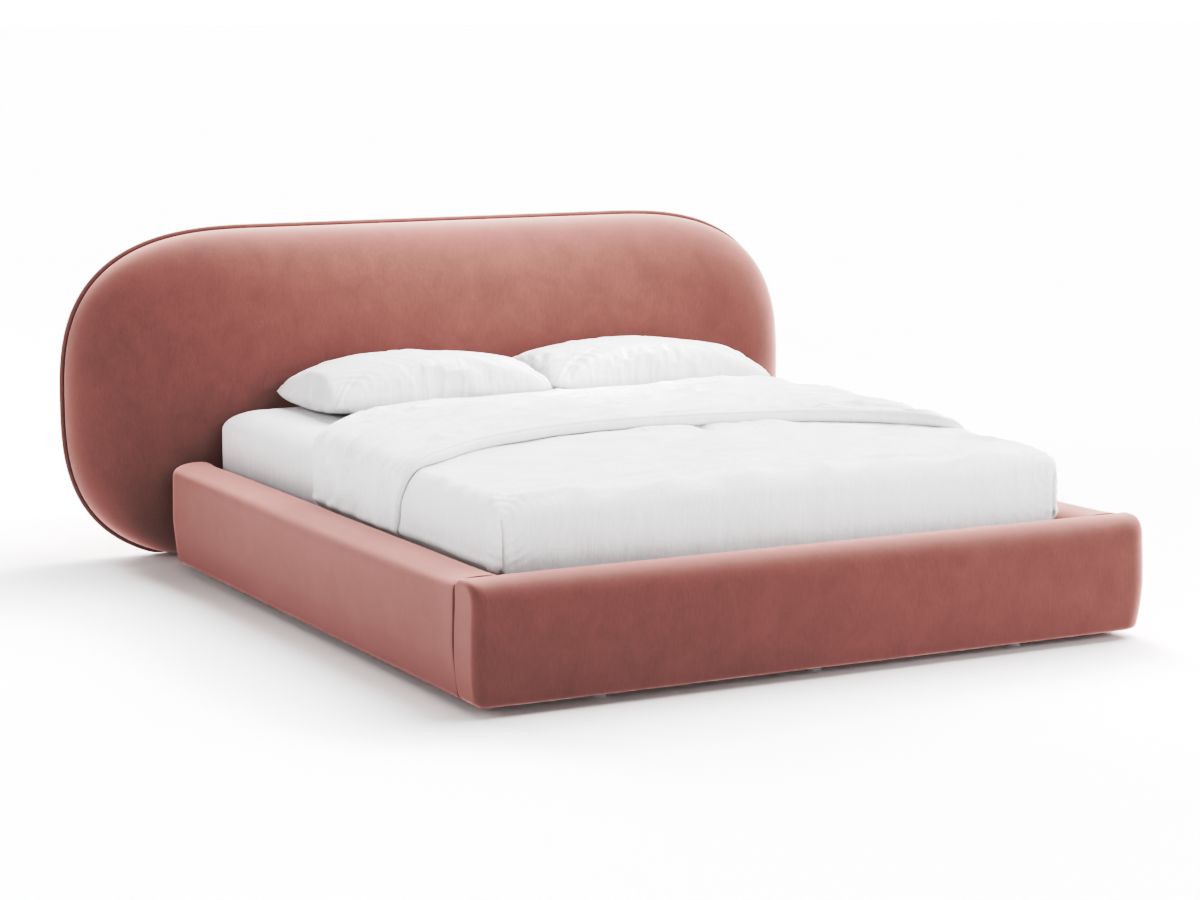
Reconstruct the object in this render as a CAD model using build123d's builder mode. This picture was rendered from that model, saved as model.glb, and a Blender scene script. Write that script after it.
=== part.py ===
from build123d import *
from math import cos, radians, sin
import os

os.makedirs("parts", exist_ok=True)

# Frame: X across the bed, Y from the foot (-Y) to the headboard (+Y), Z up.
# The origin is on the floor, under the middle of the whole bed.

# ---------------------------------------------------------------- dimensions
LENGTH = 2344.38            # front of the footboard to the back of the headboard
Y0 = -LENGTH / 2 + 12.38    # lower front edge of the footboard
SKIN = 3.0                  # velvet cover with its lining
GAP = 0.6                   # room between a cover and the foam inside it

# headboard: a wide pill that stands on the floor
HB_W = 1200.4               # half width of the outline
HB_H = 497.2                # half height of the outline
HB_ZM = 470.6               # height of the outline's middle
HB_RX = 612.0               # sideways reach of each corner curve
HB_N = 2.79                 # squareness of each corner curve
HB_CUT = 5.0                # flat underside, above the floor
HB_SEAM = Y0 + 2308.0       # plane of the piped seam
HB_DEPTH = 172.7            # pad depth in front of the seam
HB_ROLL = 158.0             # roll of the pad's edge
PIPE = 5.0                  # piping radius
BOARD_T = 15.0              # back board
FRAME_W, FRAME_Z0, FRAME_Z1, FRAME_D = 890.0, 40.0, 850.0, 88.0

# side rails and footboard
RAIL_OUT = 967.5            # outer face of a rail, at its fullest
RAIL_IN = 803.0             # inner face of a rail
RAIL_Z0, RAIL_Z1 = 25.0, 314.0
RAIL_Y0, RAIL_Y1 = Y0 + 113.0, Y0 + 2104.0
FOOT_Y1 = Y0 + 110.0        # back of the footboard
FOOT_Z1 = 318.0
CORE_T = 26.0               # timber inside the rails and the footboard
CORE_Z0 = 28.0

# slatted base
LEDGE_TOP = 204.0
SLAT_T, SLAT_Y = 12.0, 62.0
SLAT_Z = 211.0
SLAT_ROWS = [Y0 + 240.0 + 131.0 * i for i in range(14)]
BEAM_Z0 = 134.0

# bedding
MATT_W, MATT_Y0, MATT_Y1 = 788.0, Y0 + 218.0, Y0 + 2112.0
MATT_Z0, MATT_Z1 = 226.4, 451.6
SHEET = 3.0
DUVET_W, DUVET_Y0, DUVET_Y1 = 801.8, Y0 + 203.0, Y0 + 1640.0
DUVET_Z0, DUVET_Z1, FLAP_Z1 = 240.0, 479.0, 522.0
FLAP_Y0 = Y0 + 760.0
PILLOW_Y0, PILLOW_Y1, PILLOW_Z1 = Y0 + 1652.0, Y0 + 2112.0, 624.0
PILLOW_X = [(-645.0, 75.0), (85.0, 805.0)]

# bolt positions, right-hand side
HB_BOLTS = [(x, z) for x in (-500.0, 500.0) for z in (105.0, 175.0)]
BRACKET_Z = (80.0, 130.0)
LEDGE_SCREWS = [Y0 + v for v in (300.0, 700.0, 1100.0, 1500.0, 1900.0)]
RAIL_FEET = [Y0 + v for v in (260.0, 1100.0, 1950.0)]
FOOT_FEET = (-600.0, 0.0, 600.0)
LEG_Y = [Y0 + v for v in (600.0, 1100.0, 1600.0)]


# ------------------------------------------------------------------- helpers
def quarter(inset):
    """Upper right corner curve of the headboard's outline, drawn in by inset."""
    a, b = HB_RX - inset, HB_H - inset
    pts = []
    for k in range(11):
        t = radians(9.0 * k)
        r = ((abs(cos(t)) / a) ** HB_N + (abs(sin(t)) / b) ** HB_N) ** (-1 / HB_N)
        pts.append((HB_W - HB_RX + r * cos(t), r * sin(t)))
    return pts


def pill(inset):
    """The closed headboard outline, added to the line being drawn."""
    q = quarter(inset)
    tr = [(x, HB_ZM + z) for x, z in q]
    tl = [(-x, HB_ZM + z) for x, z in q]
    bl = [(-x, HB_ZM - z) for x, z in q]
    br = [(x, HB_ZM - z) for x, z in q]
    Spline(*tr, tangents=[(0, 1), (-1, 0)])
    Line(tr[-1], tl[-1])
    Spline(*tl[::-1], tangents=[(-1, 0), (0, -1)])
    Spline(*bl, tangents=[(0, -1), (1, 0)])
    Line(bl[-1], br[-1])
    Spline(*br[::-1], tangents=[(1, 0), (0, 1)])


def pill_slab(inset, y_back, thick, z_cut):
    """A flat slab of the headboard's outline, cut off level near the floor."""
    with BuildPart() as slab:
        with BuildSketch(Plane.XZ.offset(-y_back)):
            with BuildLine():
                pill(inset)
            make_face()
        extrude(amount=thick)
        split(bisect_by=Plane.XY.offset(z_cut), keep=Keep.TOP)
    return slab.part


def dome(inset, y_back, z_cut):
    """The headboard's pad: a slab with its whole front edge rolled over."""
    with BuildPart() as body:
        with BuildSketch(Plane.XZ.offset(-y_back)):
            with BuildLine():
                pill(inset)
            make_face()
        extrude(amount=HB_DEPTH - inset + (y_back - PAD_BACK))
        fillet(body.faces().sort_by(Axis.Y)[0].edges(), HB_ROLL - inset)
        split(bisect_by=Plane.XY.offset(z_cut), keep=Keep.TOP)
    return body.part


def rail_bar(inset, y0, y1, r_foot, r_head):
    """A right-hand rail: bulged outer face, rolled top, rounded ends."""
    with BuildPart() as bar:
        with BuildSketch(Plane.XZ.offset(-y1)) as prof:
            with BuildLine():
                Polyline(
                    (RAIL_IN, RAIL_Z0), (RAIL_OUT - 14.5, RAIL_Z0), (RAIL_OUT, 165.0),
                    (RAIL_OUT - 5.0, RAIL_Z1), (RAIL_IN, RAIL_Z1), close=True,
                )
            make_face()
            fillet(prof.vertices().sort_by_distance((RAIL_OUT - 5.0, RAIL_Z1, 0))[0], 84.0)
            fillet(prof.vertices().sort_by_distance((RAIL_IN, RAIL_Z1, 0))[0], 55.0)
            fillet(prof.vertices().sort_by_distance((RAIL_OUT, 165.0, 0))[0], 420.0)
            if inset:
                offset(amount=-inset)
        extrude(amount=y1 - y0)
        head = bar.faces().sort_by(Axis.Y)[-1].edges()
        fillet([e for e in head if e.center().Z > RAIL_Z0 + 10], r_head)
        foot = bar.faces().sort_by(Axis.Y)[0].edges()
        fillet([e for e in foot if e.center().Z > RAIL_Z0 + 10], r_foot)
    return bar.part


def foot_bar(inset):
    """The footboard: bulged front, rolled top, ends rounded as seen from the front."""
    with BuildPart() as bar:
        with BuildSketch(Plane.YZ) as prof:
            with BuildLine():
                Polyline(
                    (Y0, RAIL_Z0), (Y0 - 13.0, 150.0), (Y0 - 9.0, FOOT_Z1),
                    (FOOT_Y1, FOOT_Z1), (FOOT_Y1, RAIL_Z0), close=True,
                )
            make_face()
            fillet(prof.vertices().sort_by_distance((Y0 - 9.0, FOOT_Z1, 0))[0], 92.0)
            fillet(prof.vertices().sort_by_distance((FOOT_Y1, FOOT_Z1, 0))[0], 18.0)
            fillet(prof.vertices().sort_by_distance((Y0 - 13.0, 150.0, 0))[0], 500.0)
            if inset:
                offset(amount=-inset)
        extrude(amount=RAIL_OUT - inset, both=True)
        with BuildSketch(Plane.XZ.offset(-Y0 - 400.0)) as elev:
            with Locations((0, (RAIL_Z0 + FOOT_Z1) / 2)):
                Rectangle(2 * RAIL_OUT, FOOT_Z1 - RAIL_Z0)
            fillet(elev.vertices().sort_by(Axis.Y)[-2:], 90.0)
            fillet(elev.vertices().sort_by(Axis.Y)[:2], 45.0)
            if inset:
                offset(amount=-inset)
        extrude(amount=800.0, mode=Mode.INTERSECT)
    return bar.part


def soft_box(x0, x1, y0, y1, z0, z1, r_side, r_top, r_low=0.0):
    """A cushion-like block with rounded upright and level edges."""
    with BuildPart() as block:
        with Locations(((x0 + x1) / 2, (y0 + y1) / 2, (z0 + z1) / 2)):
            Box(x1 - x0, y1 - y0, z1 - z0)
        fillet(block.edges().filter_by(Axis.Z), r_side)
        fillet(block.faces().sort_by(Axis.Z)[-1].edges(), r_top)
        if r_low:
            fillet(block.faces().sort_by(Axis.Z)[0].edges(), r_low)
    return block.part


def finish(piece, name):
    piece.part.label = name
    export_step(piece.part, "parts/" + name + ".step")


PAD_BACK = HB_SEAM - PIPE - 0.3
BOARD_FRONT = HB_SEAM + PIPE + 0.6

# ------------------------------------------------------------------ headboard
pad_outside = dome(0.0, PAD_BACK, HB_CUT)
pad_inside = dome(SKIN, PAD_BACK + 20.0, HB_CUT + SKIN)
pad_filling = dome(SKIN + GAP, PAD_BACK, HB_CUT + SKIN + GAP)

with BuildPart() as headboard_cover:
    add(pad_outside)
    add(pad_inside, mode=Mode.SUBTRACT)
    with Locations([(x, HB_SEAM - 170.0, z) for x, z in HB_BOLTS]):
        Cylinder(7.0, 60.0, rotation=(90, 0, 0), mode=Mode.SUBTRACT)
finish(headboard_cover, "headboard_cover")

with BuildPart() as headboard_foam:
    add(pad_filling)
    with Locations((0, PAD_BACK - FRAME_D + 250.0 - 1.0, (FRAME_Z0 + FRAME_Z1) / 2)):
        Box(2 * FRAME_W + 2, 500.0, FRAME_Z1 - FRAME_Z0 + 2, mode=Mode.SUBTRACT)
    with Locations([(x, HB_SEAM - 150.0, z) for x, z in HB_BOLTS]):
        Cylinder(7.0, 140.0, rotation=(90, 0, 0), mode=Mode.SUBTRACT)
finish(headboard_foam, "headboard_foam")

with BuildPart() as headboard_face_board:
    with Locations((0, PAD_BACK - FRAME_D + 2.5, (FRAME_Z0 + FRAME_Z1) / 2)):
        Box(2 * FRAME_W, 5.0, FRAME_Z1 - FRAME_Z0)
    with Locations([(x, PAD_BACK - FRAME_D, z) for x, z in HB_BOLTS]):
        Cylinder(7.0, 40.0, rotation=(90, 0, 0), mode=Mode.SUBTRACT)
finish(headboard_face_board, "headboard_face_board")

FRAME_Y0 = PAD_BACK - FRAME_D + 5.0
FRAME_Y1 = BOARD_FRONT
with BuildPart() as headboard_frame:
    with BuildSketch(Plane.XZ.offset(-FRAME_Y1)):
        with Locations((0, (FRAME_Z0 + FRAME_Z1) / 2)):
            Rectangle(2 * FRAME_W, FRAME_Z1 - FRAME_Z0)
        for xa, xb in ((-850.0, -550.0), (-450.0, -20.0), (20.0, 450.0), (550.0, 850.0)):
            with Locations(((xa + xb) / 2, (FRAME_Z0 + FRAME_Z1) / 2)):
                Rectangle(xb - xa, FRAME_Z1 - FRAME_Z0 - 80.0, mode=Mode.SUBTRACT)
    extrude(amount=FRAME_Y1 - FRAME_Y0)
    with Locations([(x, FRAME_Y0 + 20.0, z) for x, z in HB_BOLTS]):
        Cylinder(8.0, 60.0, rotation=(90, 0, 0), mode=Mode.SUBTRACT)
finish(headboard_frame, "headboard_frame")

with BuildPart() as headboard_inserts:
    with Locations([(x, FRAME_Y0 + 15.0, z) for x, z in HB_BOLTS]):
        Cylinder(8.0, 30.0, rotation=(90, 0, 0))
        Cylinder(5.1, 30.0, rotation=(90, 0, 0), mode=Mode.SUBTRACT)
finish(headboard_inserts, "headboard_inserts")

bead_outside = pill_slab(-PIPE, HB_SEAM + PIPE, 2 * PIPE, HB_CUT)
bead_inside = pill_slab(PIPE, HB_SEAM + PIPE + 5, 2 * PIPE + 10, -20.0)
with BuildPart() as headboard_piping:
    add(bead_outside)
    add(bead_inside, mode=Mode.SUBTRACT)
finish(headboard_piping, "headboard_piping")

board_slab = pill_slab(6.0, BOARD_FRONT + BOARD_T, BOARD_T, HB_CUT + SKIN + GAP)
with BuildPart() as headboard_back_board:
    add(board_slab)
finish(headboard_back_board, "headboard_back_board")

BACK = LENGTH / 2
back_outside = pill_slab(2.0, BACK, BACK - BOARD_FRONT + 0.3, HB_CUT)
back_inside = pill_slab(5.4, BOARD_FRONT + BOARD_T + 0.3, BOARD_T + 10.3, HB_CUT + SKIN)
with BuildPart() as headboard_back_cover:
    add(back_outside)
    add(back_inside, mode=Mode.SUBTRACT)
finish(headboard_back_cover, "headboard_back_cover")

with BuildPart() as headboard_glides:
    with Locations([(x, BOARD_FRONT + 8.0, HB_CUT / 2) for x in (-700.0, -250.0, 250.0, 700.0)]):
        Cylinder(10.0, HB_CUT)
finish(headboard_glides, "headboard_glides")

# ----------------------------------------------------------------- side rails
rail_outside = rail_bar(0.0, RAIL_Y0, RAIL_Y1, 20.0, 48.0)
rail_inside = rail_bar(SKIN, RAIL_Y0 + SKIN, RAIL_Y1 - SKIN, 17.0, 45.0)
rail_filling = rail_bar(SKIN + GAP, RAIL_Y0 + SKIN + GAP, RAIL_Y1 - SKIN - GAP, 16.4, 44.4)
CORE_X0 = RAIL_IN + SKIN + 1.0
RAIL_MID = (RAIL_Y0 + RAIL_Y1) / 2
BRACKET_Y = (Y0 + 150.0, Y0 + 2040.0)

with BuildPart() as rail_cover_right:
    add(rail_outside)
    add(rail_inside, mode=Mode.SUBTRACT)
    with Locations((RAIL_IN + 75.0, RAIL_MID, RAIL_Z0)):
        Box(136.0, RAIL_Y1 - RAIL_Y0 - 130.0, 12.0, mode=Mode.SUBTRACT)
    with Locations([(RAIL_IN, y, z) for y in BRACKET_Y for z in BRACKET_Z]):
        Cylinder(4.6, 20.0, rotation=(0, 90, 0), mode=Mode.SUBTRACT)
    with Locations([(RAIL_IN, y, LEDGE_TOP - 20.0) for y in LEDGE_SCREWS]):
        Cylinder(3.6, 20.0, rotation=(0, 90, 0), mode=Mode.SUBTRACT)
finish(rail_cover_right, "rail_cover_right")

with BuildPart() as rail_cover_left:
    mirror(rail_cover_right.part, about=Plane.YZ)
finish(rail_cover_left, "rail_cover_left")

with BuildPart() as rail_foam_right:
    add(rail_filling)
    with Locations((CORE_X0 - 100.0 + CORE_T + 0.6, RAIL_MID, 40.0)):
        Box(200.0, 2200.0, 400.6, mode=Mode.SUBTRACT)
finish(rail_foam_right, "rail_foam_right")

with BuildPart() as rail_foam_left:
    mirror(rail_foam_right.part, about=Plane.YZ)
finish(rail_foam_left, "rail_foam_left")

CORE_Z1 = 239.8
with BuildPart() as rail_core_right:
    with Locations((CORE_X0 + CORE_T / 2, RAIL_MID - 15.0, (CORE_Z0 + CORE_Z1) / 2)):
        Box(CORE_T, RAIL_Y1 - RAIL_Y0 - 110.0, CORE_Z1 - CORE_Z0)
    with Locations([(CORE_X0 + CORE_T / 2, y, z) for y in BRACKET_Y for z in BRACKET_Z]):
        Cylinder(4.1, CORE_T + 4, rotation=(0, 90, 0), mode=Mode.SUBTRACT)
    with Locations([(CORE_X0 + CORE_T / 2, y, LEDGE_TOP - 20.0) for y in LEDGE_SCREWS]):
        Cylinder(3.1, CORE_T + 4, rotation=(0, 90, 0), mode=Mode.SUBTRACT)
finish(rail_core_right, "rail_core_right")

with BuildPart() as rail_core_left:
    mirror(rail_core_right.part, about=Plane.YZ)
finish(rail_core_left, "rail_core_left")

with BuildPart() as rail_feet:
    with Locations([(s * (CORE_X0 + CORE_T / 2), y, 12.25) for s in (-1, 1) for y in RAIL_FEET]):
        Cylinder(20.0, 24.5)
    with Locations([(s * (CORE_X0 + CORE_T / 2), y, 26.25) for s in (-1, 1) for y in RAIL_FEET]):
        Cylinder(9.0, 3.5)
finish(rail_feet, "rail_feet")

# ------------------------------------------------------------------ footboard
FCORE_Y1 = FOOT_Y1 - SKIN - 1.0
FCORE_Y0 = FCORE_Y1 - CORE_T
FCORE_Z1 = 258.0
FBOLT_X = 760.0
HANGER_X, HANGER_Z = 45.0, 165.0

foot_outside = foot_bar(0.0)
foot_inside = foot_bar(SKIN)
foot_filling = foot_bar(SKIN + GAP)

with BuildPart() as footboard_cover:
    add(foot_outside)
    add(foot_inside, mode=Mode.SUBTRACT)
    with Locations((0, Y0 + 53.0, RAIL_Z0)):
        Box(1780.0, 100.0, 12.0, mode=Mode.SUBTRACT)
    with Locations([(s * FBOLT_X, FOOT_Y1, z) for s in (-1, 1) for z in BRACKET_Z]):
        Cylinder(4.6, 20.0, rotation=(90, 0, 0), mode=Mode.SUBTRACT)
    with Locations([(s * HANGER_X, FOOT_Y1, HANGER_Z) for s in (-1, 1)]):
        Cylinder(3.6, 20.0, rotation=(90, 0, 0), mode=Mode.SUBTRACT)
finish(footboard_cover, "footboard_cover")

with BuildPart() as footboard_foam:
    add(foot_filling)
    with Locations((0, FCORE_Y0 + 100.0 - 0.6, FCORE_Z1 - 200.0 + 0.6)):
        Box(2100.0, 200.0, 400.0, mode=Mode.SUBTRACT)
finish(footboard_foam, "footboard_foam")

with BuildPart() as footboard_core:
    with Locations((0, (FCORE_Y0 + FCORE_Y1) / 2, (CORE_Z0 + FCORE_Z1) / 2)):
        Box(1840.0, CORE_T, FCORE_Z1 - CORE_Z0)
    with Locations([(s * FBOLT_X, FCORE_Y0, z) for s in (-1, 1) for z in BRACKET_Z]):
        Cylinder(4.1, 80.0, rotation=(90, 0, 0), mode=Mode.SUBTRACT)
    with Locations([(s * HANGER_X, FCORE_Y0, HANGER_Z) for s in (-1, 1)]):
        Cylinder(3.1, 80.0, rotation=(90, 0, 0), mode=Mode.SUBTRACT)
finish(footboard_core, "footboard_core")

with BuildPart() as footboard_feet:
    with Locations([(x, (FCORE_Y0 + FCORE_Y1) / 2, 12.25) for x in FOOT_FEET]):
        Cylinder(20.0, 24.5)
    with Locations([(x, (FCORE_Y0 + FCORE_Y1) / 2, 26.25) for x in FOOT_FEET]):
        Cylinder(9.0, 3.5)
finish(footboard_feet, "footboard_feet")

# ------------------------------------------------- head rail and its fasteners
HEAD_Y0, HEAD_Y1 = Y0 + 2078.0, Y0 + 2104.0
with BuildPart() as head_rail:
    with Locations((0, (HEAD_Y0 + HEAD_Y1) / 2, 127.5)):
        Box(2 * RAIL_IN - 1.0, HEAD_Y1 - HEAD_Y0, 155.0)
    with Locations([(x, HEAD_Y0, z) for x, z in HB_BOLTS]):
        Cylinder(5.5, 80.0, rotation=(90, 0, 0), mode=Mode.SUBTRACT)
    with Locations([(s * FBOLT_X, HEAD_Y0, z) for s in (-1, 1) for z in BRACKET_Z]):
        Cylinder(4.1, 80.0, rotation=(90, 0, 0), mode=Mode.SUBTRACT)
    with Locations([(s * HANGER_X, HEAD_Y0, HANGER_Z) for s in (-1, 1)]):
        Cylinder(3.1, 80.0, rotation=(90, 0, 0), mode=Mode.SUBTRACT)
finish(head_rail, "head_rail")

PAD_FRONT = PAD_BACK - HB_DEPTH
with BuildPart() as headboard_spacers:
    with Locations([(x, (HEAD_Y1 + PAD_FRONT) / 2, 140.0) for x in (-500.0, 500.0)]):
        Box(90.0, PAD_FRONT - HEAD_Y1, 120.0)
    with Locations([(x, HEAD_Y1, z) for x, z in HB_BOLTS]):
        Cylinder(5.5, 200.0, rotation=(90, 0, 0), mode=Mode.SUBTRACT)
finish(headboard_spacers, "headboard_spacers")

BOLT_END = FRAME_Y0 + 28.0
with BuildPart() as headboard_bolts:
    with Locations([(x, (HEAD_Y0 + BOLT_END) / 2, z) for x, z in HB_BOLTS]):
        Cylinder(5.0, BOLT_END - HEAD_Y0, rotation=(90, 0, 0))
    with Locations([(x, HEAD_Y0 - 1.0, z) for x, z in HB_BOLTS]):
        Cylinder(15.0, 2.0, rotation=(90, 0, 0))
    with Locations([(x, HEAD_Y0 - 5.5, z) for x, z in HB_BOLTS]):
        Cylinder(8.5, 7.0, rotation=(90, 0, 0))
finish(headboard_bolts, "headboard_bolts")

# ------------------------------------------------------------ corner brackets
BX1 = RAIL_IN - 0.6
FOOT_B = FOOT_Y1 + 0.6
HEAD_B = HEAD_Y0 - 0.6
with BuildPart() as corner_brackets:
    for s in (-1, 1):
        with Locations((s * (BX1 - 1.5), FOOT_B + 38.0, 105.0)):
            Box(3.0, 70.0, 90.0)
        with Locations((s * (BX1 - 35.0), FOOT_B + 1.5, 105.0)):
            Box(70.0, 3.0, 90.0)
        with Locations((s * (BX1 - 1.5), HEAD_B - 38.0, 105.0)):
            Box(3.0, 70.0, 90.0)
        with Locations((s * (BX1 - 35.0), HEAD_B - 1.5, 105.0)):
            Box(70.0, 3.0, 90.0)
    with Locations([(s * BX1, y, z) for s in (-1, 1) for y in BRACKET_Y for z in BRACKET_Z]):
        Cylinder(4.6, 20.0, rotation=(0, 90, 0), mode=Mode.SUBTRACT)
    with Locations([(s * FBOLT_X, y, z) for s in (-1, 1) for y in (FOOT_B, HEAD_B) for z in BRACKET_Z]):
        Cylinder(4.6, 20.0, rotation=(90, 0, 0), mode=Mode.SUBTRACT)
finish(corner_brackets, "corner_brackets")

CORE_X1 = CORE_X0 + CORE_T
with BuildPart() as bracket_bolts:
    rows = [(s, y, z) for s in (-1, 1) for y in BRACKET_Y for z in BRACKET_Z]
    with Locations([(s * (BX1 - 3.0 + CORE_X1) / 2, y, z) for s, y, z in rows]):
        Cylinder(4.0, CORE_X1 - BX1 + 3.0, rotation=(0, 90, 0))
    with Locations([(s * (BX1 - 5.5), y, z) for s, y, z in rows]):
        Cylinder(8.0, 5.0, rotation=(0, 90, 0))
    foot = [(s * FBOLT_X, z) for s in (-1, 1) for z in BRACKET_Z]
    with Locations([(x, (FOOT_B + 3.0 + FCORE_Y0) / 2, z) for x, z in foot]):
        Cylinder(4.0, FOOT_B + 3.0 - FCORE_Y0, rotation=(90, 0, 0))
    with Locations([(x, FOOT_B + 5.5, z) for x, z in foot]):
        Cylinder(8.0, 5.0, rotation=(90, 0, 0))
    with Locations([(x, (HEAD_B - 3.0 + HEAD_Y1) / 2, z) for x, z in foot]):
        Cylinder(4.0, HEAD_Y1 - HEAD_B + 3.0, rotation=(90, 0, 0))
    with Locations([(x, HEAD_B - 5.5, z) for x, z in foot]):
        Cylinder(8.0, 5.0, rotation=(90, 0, 0))
finish(bracket_bolts, "bracket_bolts")

# --------------------------------------------------------------- slatted base
LEDGE_X0, LEDGE_X1 = RAIL_IN - 40.3, RAIL_IN - 0.3
with BuildPart() as slat_ledge_right:
    with Locations(((LEDGE_X0 + LEDGE_X1) / 2, Y0 + 1095.0, LEDGE_TOP - 20.0)):
        Box(40.0, 1800.0, 40.0)
    with Locations([(LEDGE_X0, y, LEDGE_TOP - 20.0) for y in LEDGE_SCREWS]):
        Cylinder(3.6, 120.0, rotation=(0, 90, 0), mode=Mode.SUBTRACT)
finish(slat_ledge_right, "slat_ledge_right")

with BuildPart() as slat_ledge_left:
    mirror(slat_ledge_right.part, about=Plane.YZ)
finish(slat_ledge_left, "slat_ledge_left")

with BuildPart() as ledge_screws:
    rows = [(s, y) for s in (-1, 1) for y in LEDGE_SCREWS]
    with Locations([(s * (LEDGE_X0 + CORE_X1) / 2, y, LEDGE_TOP - 20.0) for s, y in rows]):
        Cylinder(3.0, CORE_X1 - LEDGE_X0, rotation=(0, 90, 0))
    with Locations([(s * (LEDGE_X0 - 2.0), y, LEDGE_TOP - 20.0) for s, y in rows]):
        Cylinder(7.0, 4.0, rotation=(0, 90, 0))
finish(ledge_screws, "ledge_screws")

BEAM_Y0, BEAM_Y1 = FOOT_B + 3.3, HEAD_B - 3.3
with BuildPart() as centre_beam:
    with Locations((0, (BEAM_Y0 + BEAM_Y1) / 2, (BEAM_Z0 + LEDGE_TOP) / 2)):
        Box(60.0, BEAM_Y1 - BEAM_Y0, LEDGE_TOP - BEAM_Z0)
    fillet(centre_beam.edges().filter_by(Axis.Y), 3.0)
finish(centre_beam, "centre_beam")

with BuildPart() as beam_hangers:
    for y_wall, way in ((FOOT_B, 1), (HEAD_B, -1)):
        with Locations((0, y_wall + way * 1.5, 155.0)):
            Box(116.0, 3.0, 90.0)
        with Locations((0, y_wall + way * 28.0, BEAM_Z0 - 1.5)):
            Box(66.0, 52.0, 3.0)
    with Locations([(s * HANGER_X, y, HANGER_Z) for s in (-1, 1) for y in (FOOT_B, HEAD_B)]):
        Cylinder(3.6, 20.0, rotation=(90, 0, 0), mode=Mode.SUBTRACT)
finish(beam_hangers, "beam_hangers")

with BuildPart() as hanger_screws:
    for s in (-1, 1):
        with Locations((s * HANGER_X, (FOOT_B + 3.0 + FCORE_Y0 + 4) / 2, HANGER_Z)):
            Cylinder(3.0, FOOT_B + 3.0 - FCORE_Y0 - 4, rotation=(90, 0, 0))
        with Locations((s * HANGER_X, FOOT_B + 5.0, HANGER_Z)):
            Cylinder(6.0, 4.0, rotation=(90, 0, 0))
        with Locations((s * HANGER_X, (HEAD_B - 3.0 + HEAD_Y1 - 4) / 2, HANGER_Z)):
            Cylinder(3.0, HEAD_Y1 - 4 - HEAD_B + 3.0, rotation=(90, 0, 0))
        with Locations((s * HANGER_X, HEAD_B - 5.0, HANGER_Z)):
            Cylinder(6.0, 4.0, rotation=(90, 0, 0))
finish(hanger_screws, "hanger_screws")

with BuildPart() as centre_legs:
    with Locations([(0, y, BEAM_Z0 - 2.0) for y in LEG_Y]):
        Box(56.0, 56.0, 4.0)
    with Locations([(0, y, (8.0 + BEAM_Z0 - 4.0) / 2) for y in LEG_Y]):
        Cylinder(19.0, BEAM_Z0 - 12.0)
finish(centre_legs, "centre_legs")

with BuildPart() as centre_leg_glides:
    with Locations([(0, y, 4.0) for y in LEG_Y]):
        Cylinder(21.0, 8.0)
    fillet(centre_leg_glides.edges().group_by(Axis.Z)[0], 2.0)
finish(centre_leg_glides, "centre_leg_glides")

HOLD_X0, HOLD_X1 = RAIL_IN - 39.3, RAIL_IN - 1.3
with BuildPart() as slat_holders_right:
    with Locations([((HOLD_X0 + HOLD_X1) / 2, y, 215.0) for y in SLAT_ROWS]):
        Box(38.0, 70.0, 22.0)
    with Locations([((HOLD_X0 + HOLD_X1) / 2 - 6.0, y, SLAT_Z + SLAT_T / 2) for y in SLAT_ROWS]):
        Box(38.0, SLAT_Y + 0.6, SLAT_T + 0.4, mode=Mode.SUBTRACT)
finish(slat_holders_right, "slat_holders_right")

with BuildPart() as slat_holders_left:
    mirror(slat_holders_right.part, about=Plane.YZ)
finish(slat_holders_left, "slat_holders_left")

with BuildPart() as slat_holders_centre:
    with Locations([(0, y, 215.0) for y in SLAT_ROWS]):
        Box(76.0, 70.0, 22.0)
    with Locations([(s * 25.0, y, SLAT_Z + SLAT_T / 2) for s in (-1, 1) for y in SLAT_ROWS]):
        Box(42.0, SLAT_Y + 0.6, SLAT_T + 0.4, mode=Mode.SUBTRACT)
finish(slat_holders_centre, "slat_holders_centre")

SLAT_X0, SLAT_X1 = 4.8, HOLD_X1 - 6.8
with BuildPart() as slats_right:
    with Locations([((SLAT_X0 + SLAT_X1) / 2, y, SLAT_Z + SLAT_T / 2) for y in SLAT_ROWS]):
        Box(SLAT_X1 - SLAT_X0, SLAT_Y, SLAT_T)
finish(slats_right, "slats_right")

with BuildPart() as slats_left:
    mirror(slats_right.part, about=Plane.YZ)
finish(slats_left, "slats_left")

# -------------------------------------------------------------------- bedding
mattress_block = soft_box(-MATT_W, MATT_W, MATT_Y0, MATT_Y1, MATT_Z0, MATT_Z1, 45.0, 36.0)
with BuildPart() as mattress:
    add(mattress_block)
finish(mattress, "mattress")

CLOTH = SHEET + 0.4
sheet_outside = soft_box(
    -MATT_W - CLOTH, MATT_W + CLOTH, MATT_Y0 - CLOTH, MATT_Y1 + CLOTH, 240.0, MATT_Z1 + CLOTH, 48.4, 39.4
)
sheet_inside = soft_box(
    -MATT_W - 0.4, MATT_W + 0.4, MATT_Y0 - 0.4, MATT_Y1 + 0.4, 200.0, MATT_Z1 + 0.4, 45.4, 36.4
)
with BuildPart() as fitted_sheet:
    add(sheet_outside)
    add(sheet_inside, mode=Mode.SUBTRACT)
finish(fitted_sheet, "fitted_sheet")

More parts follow.
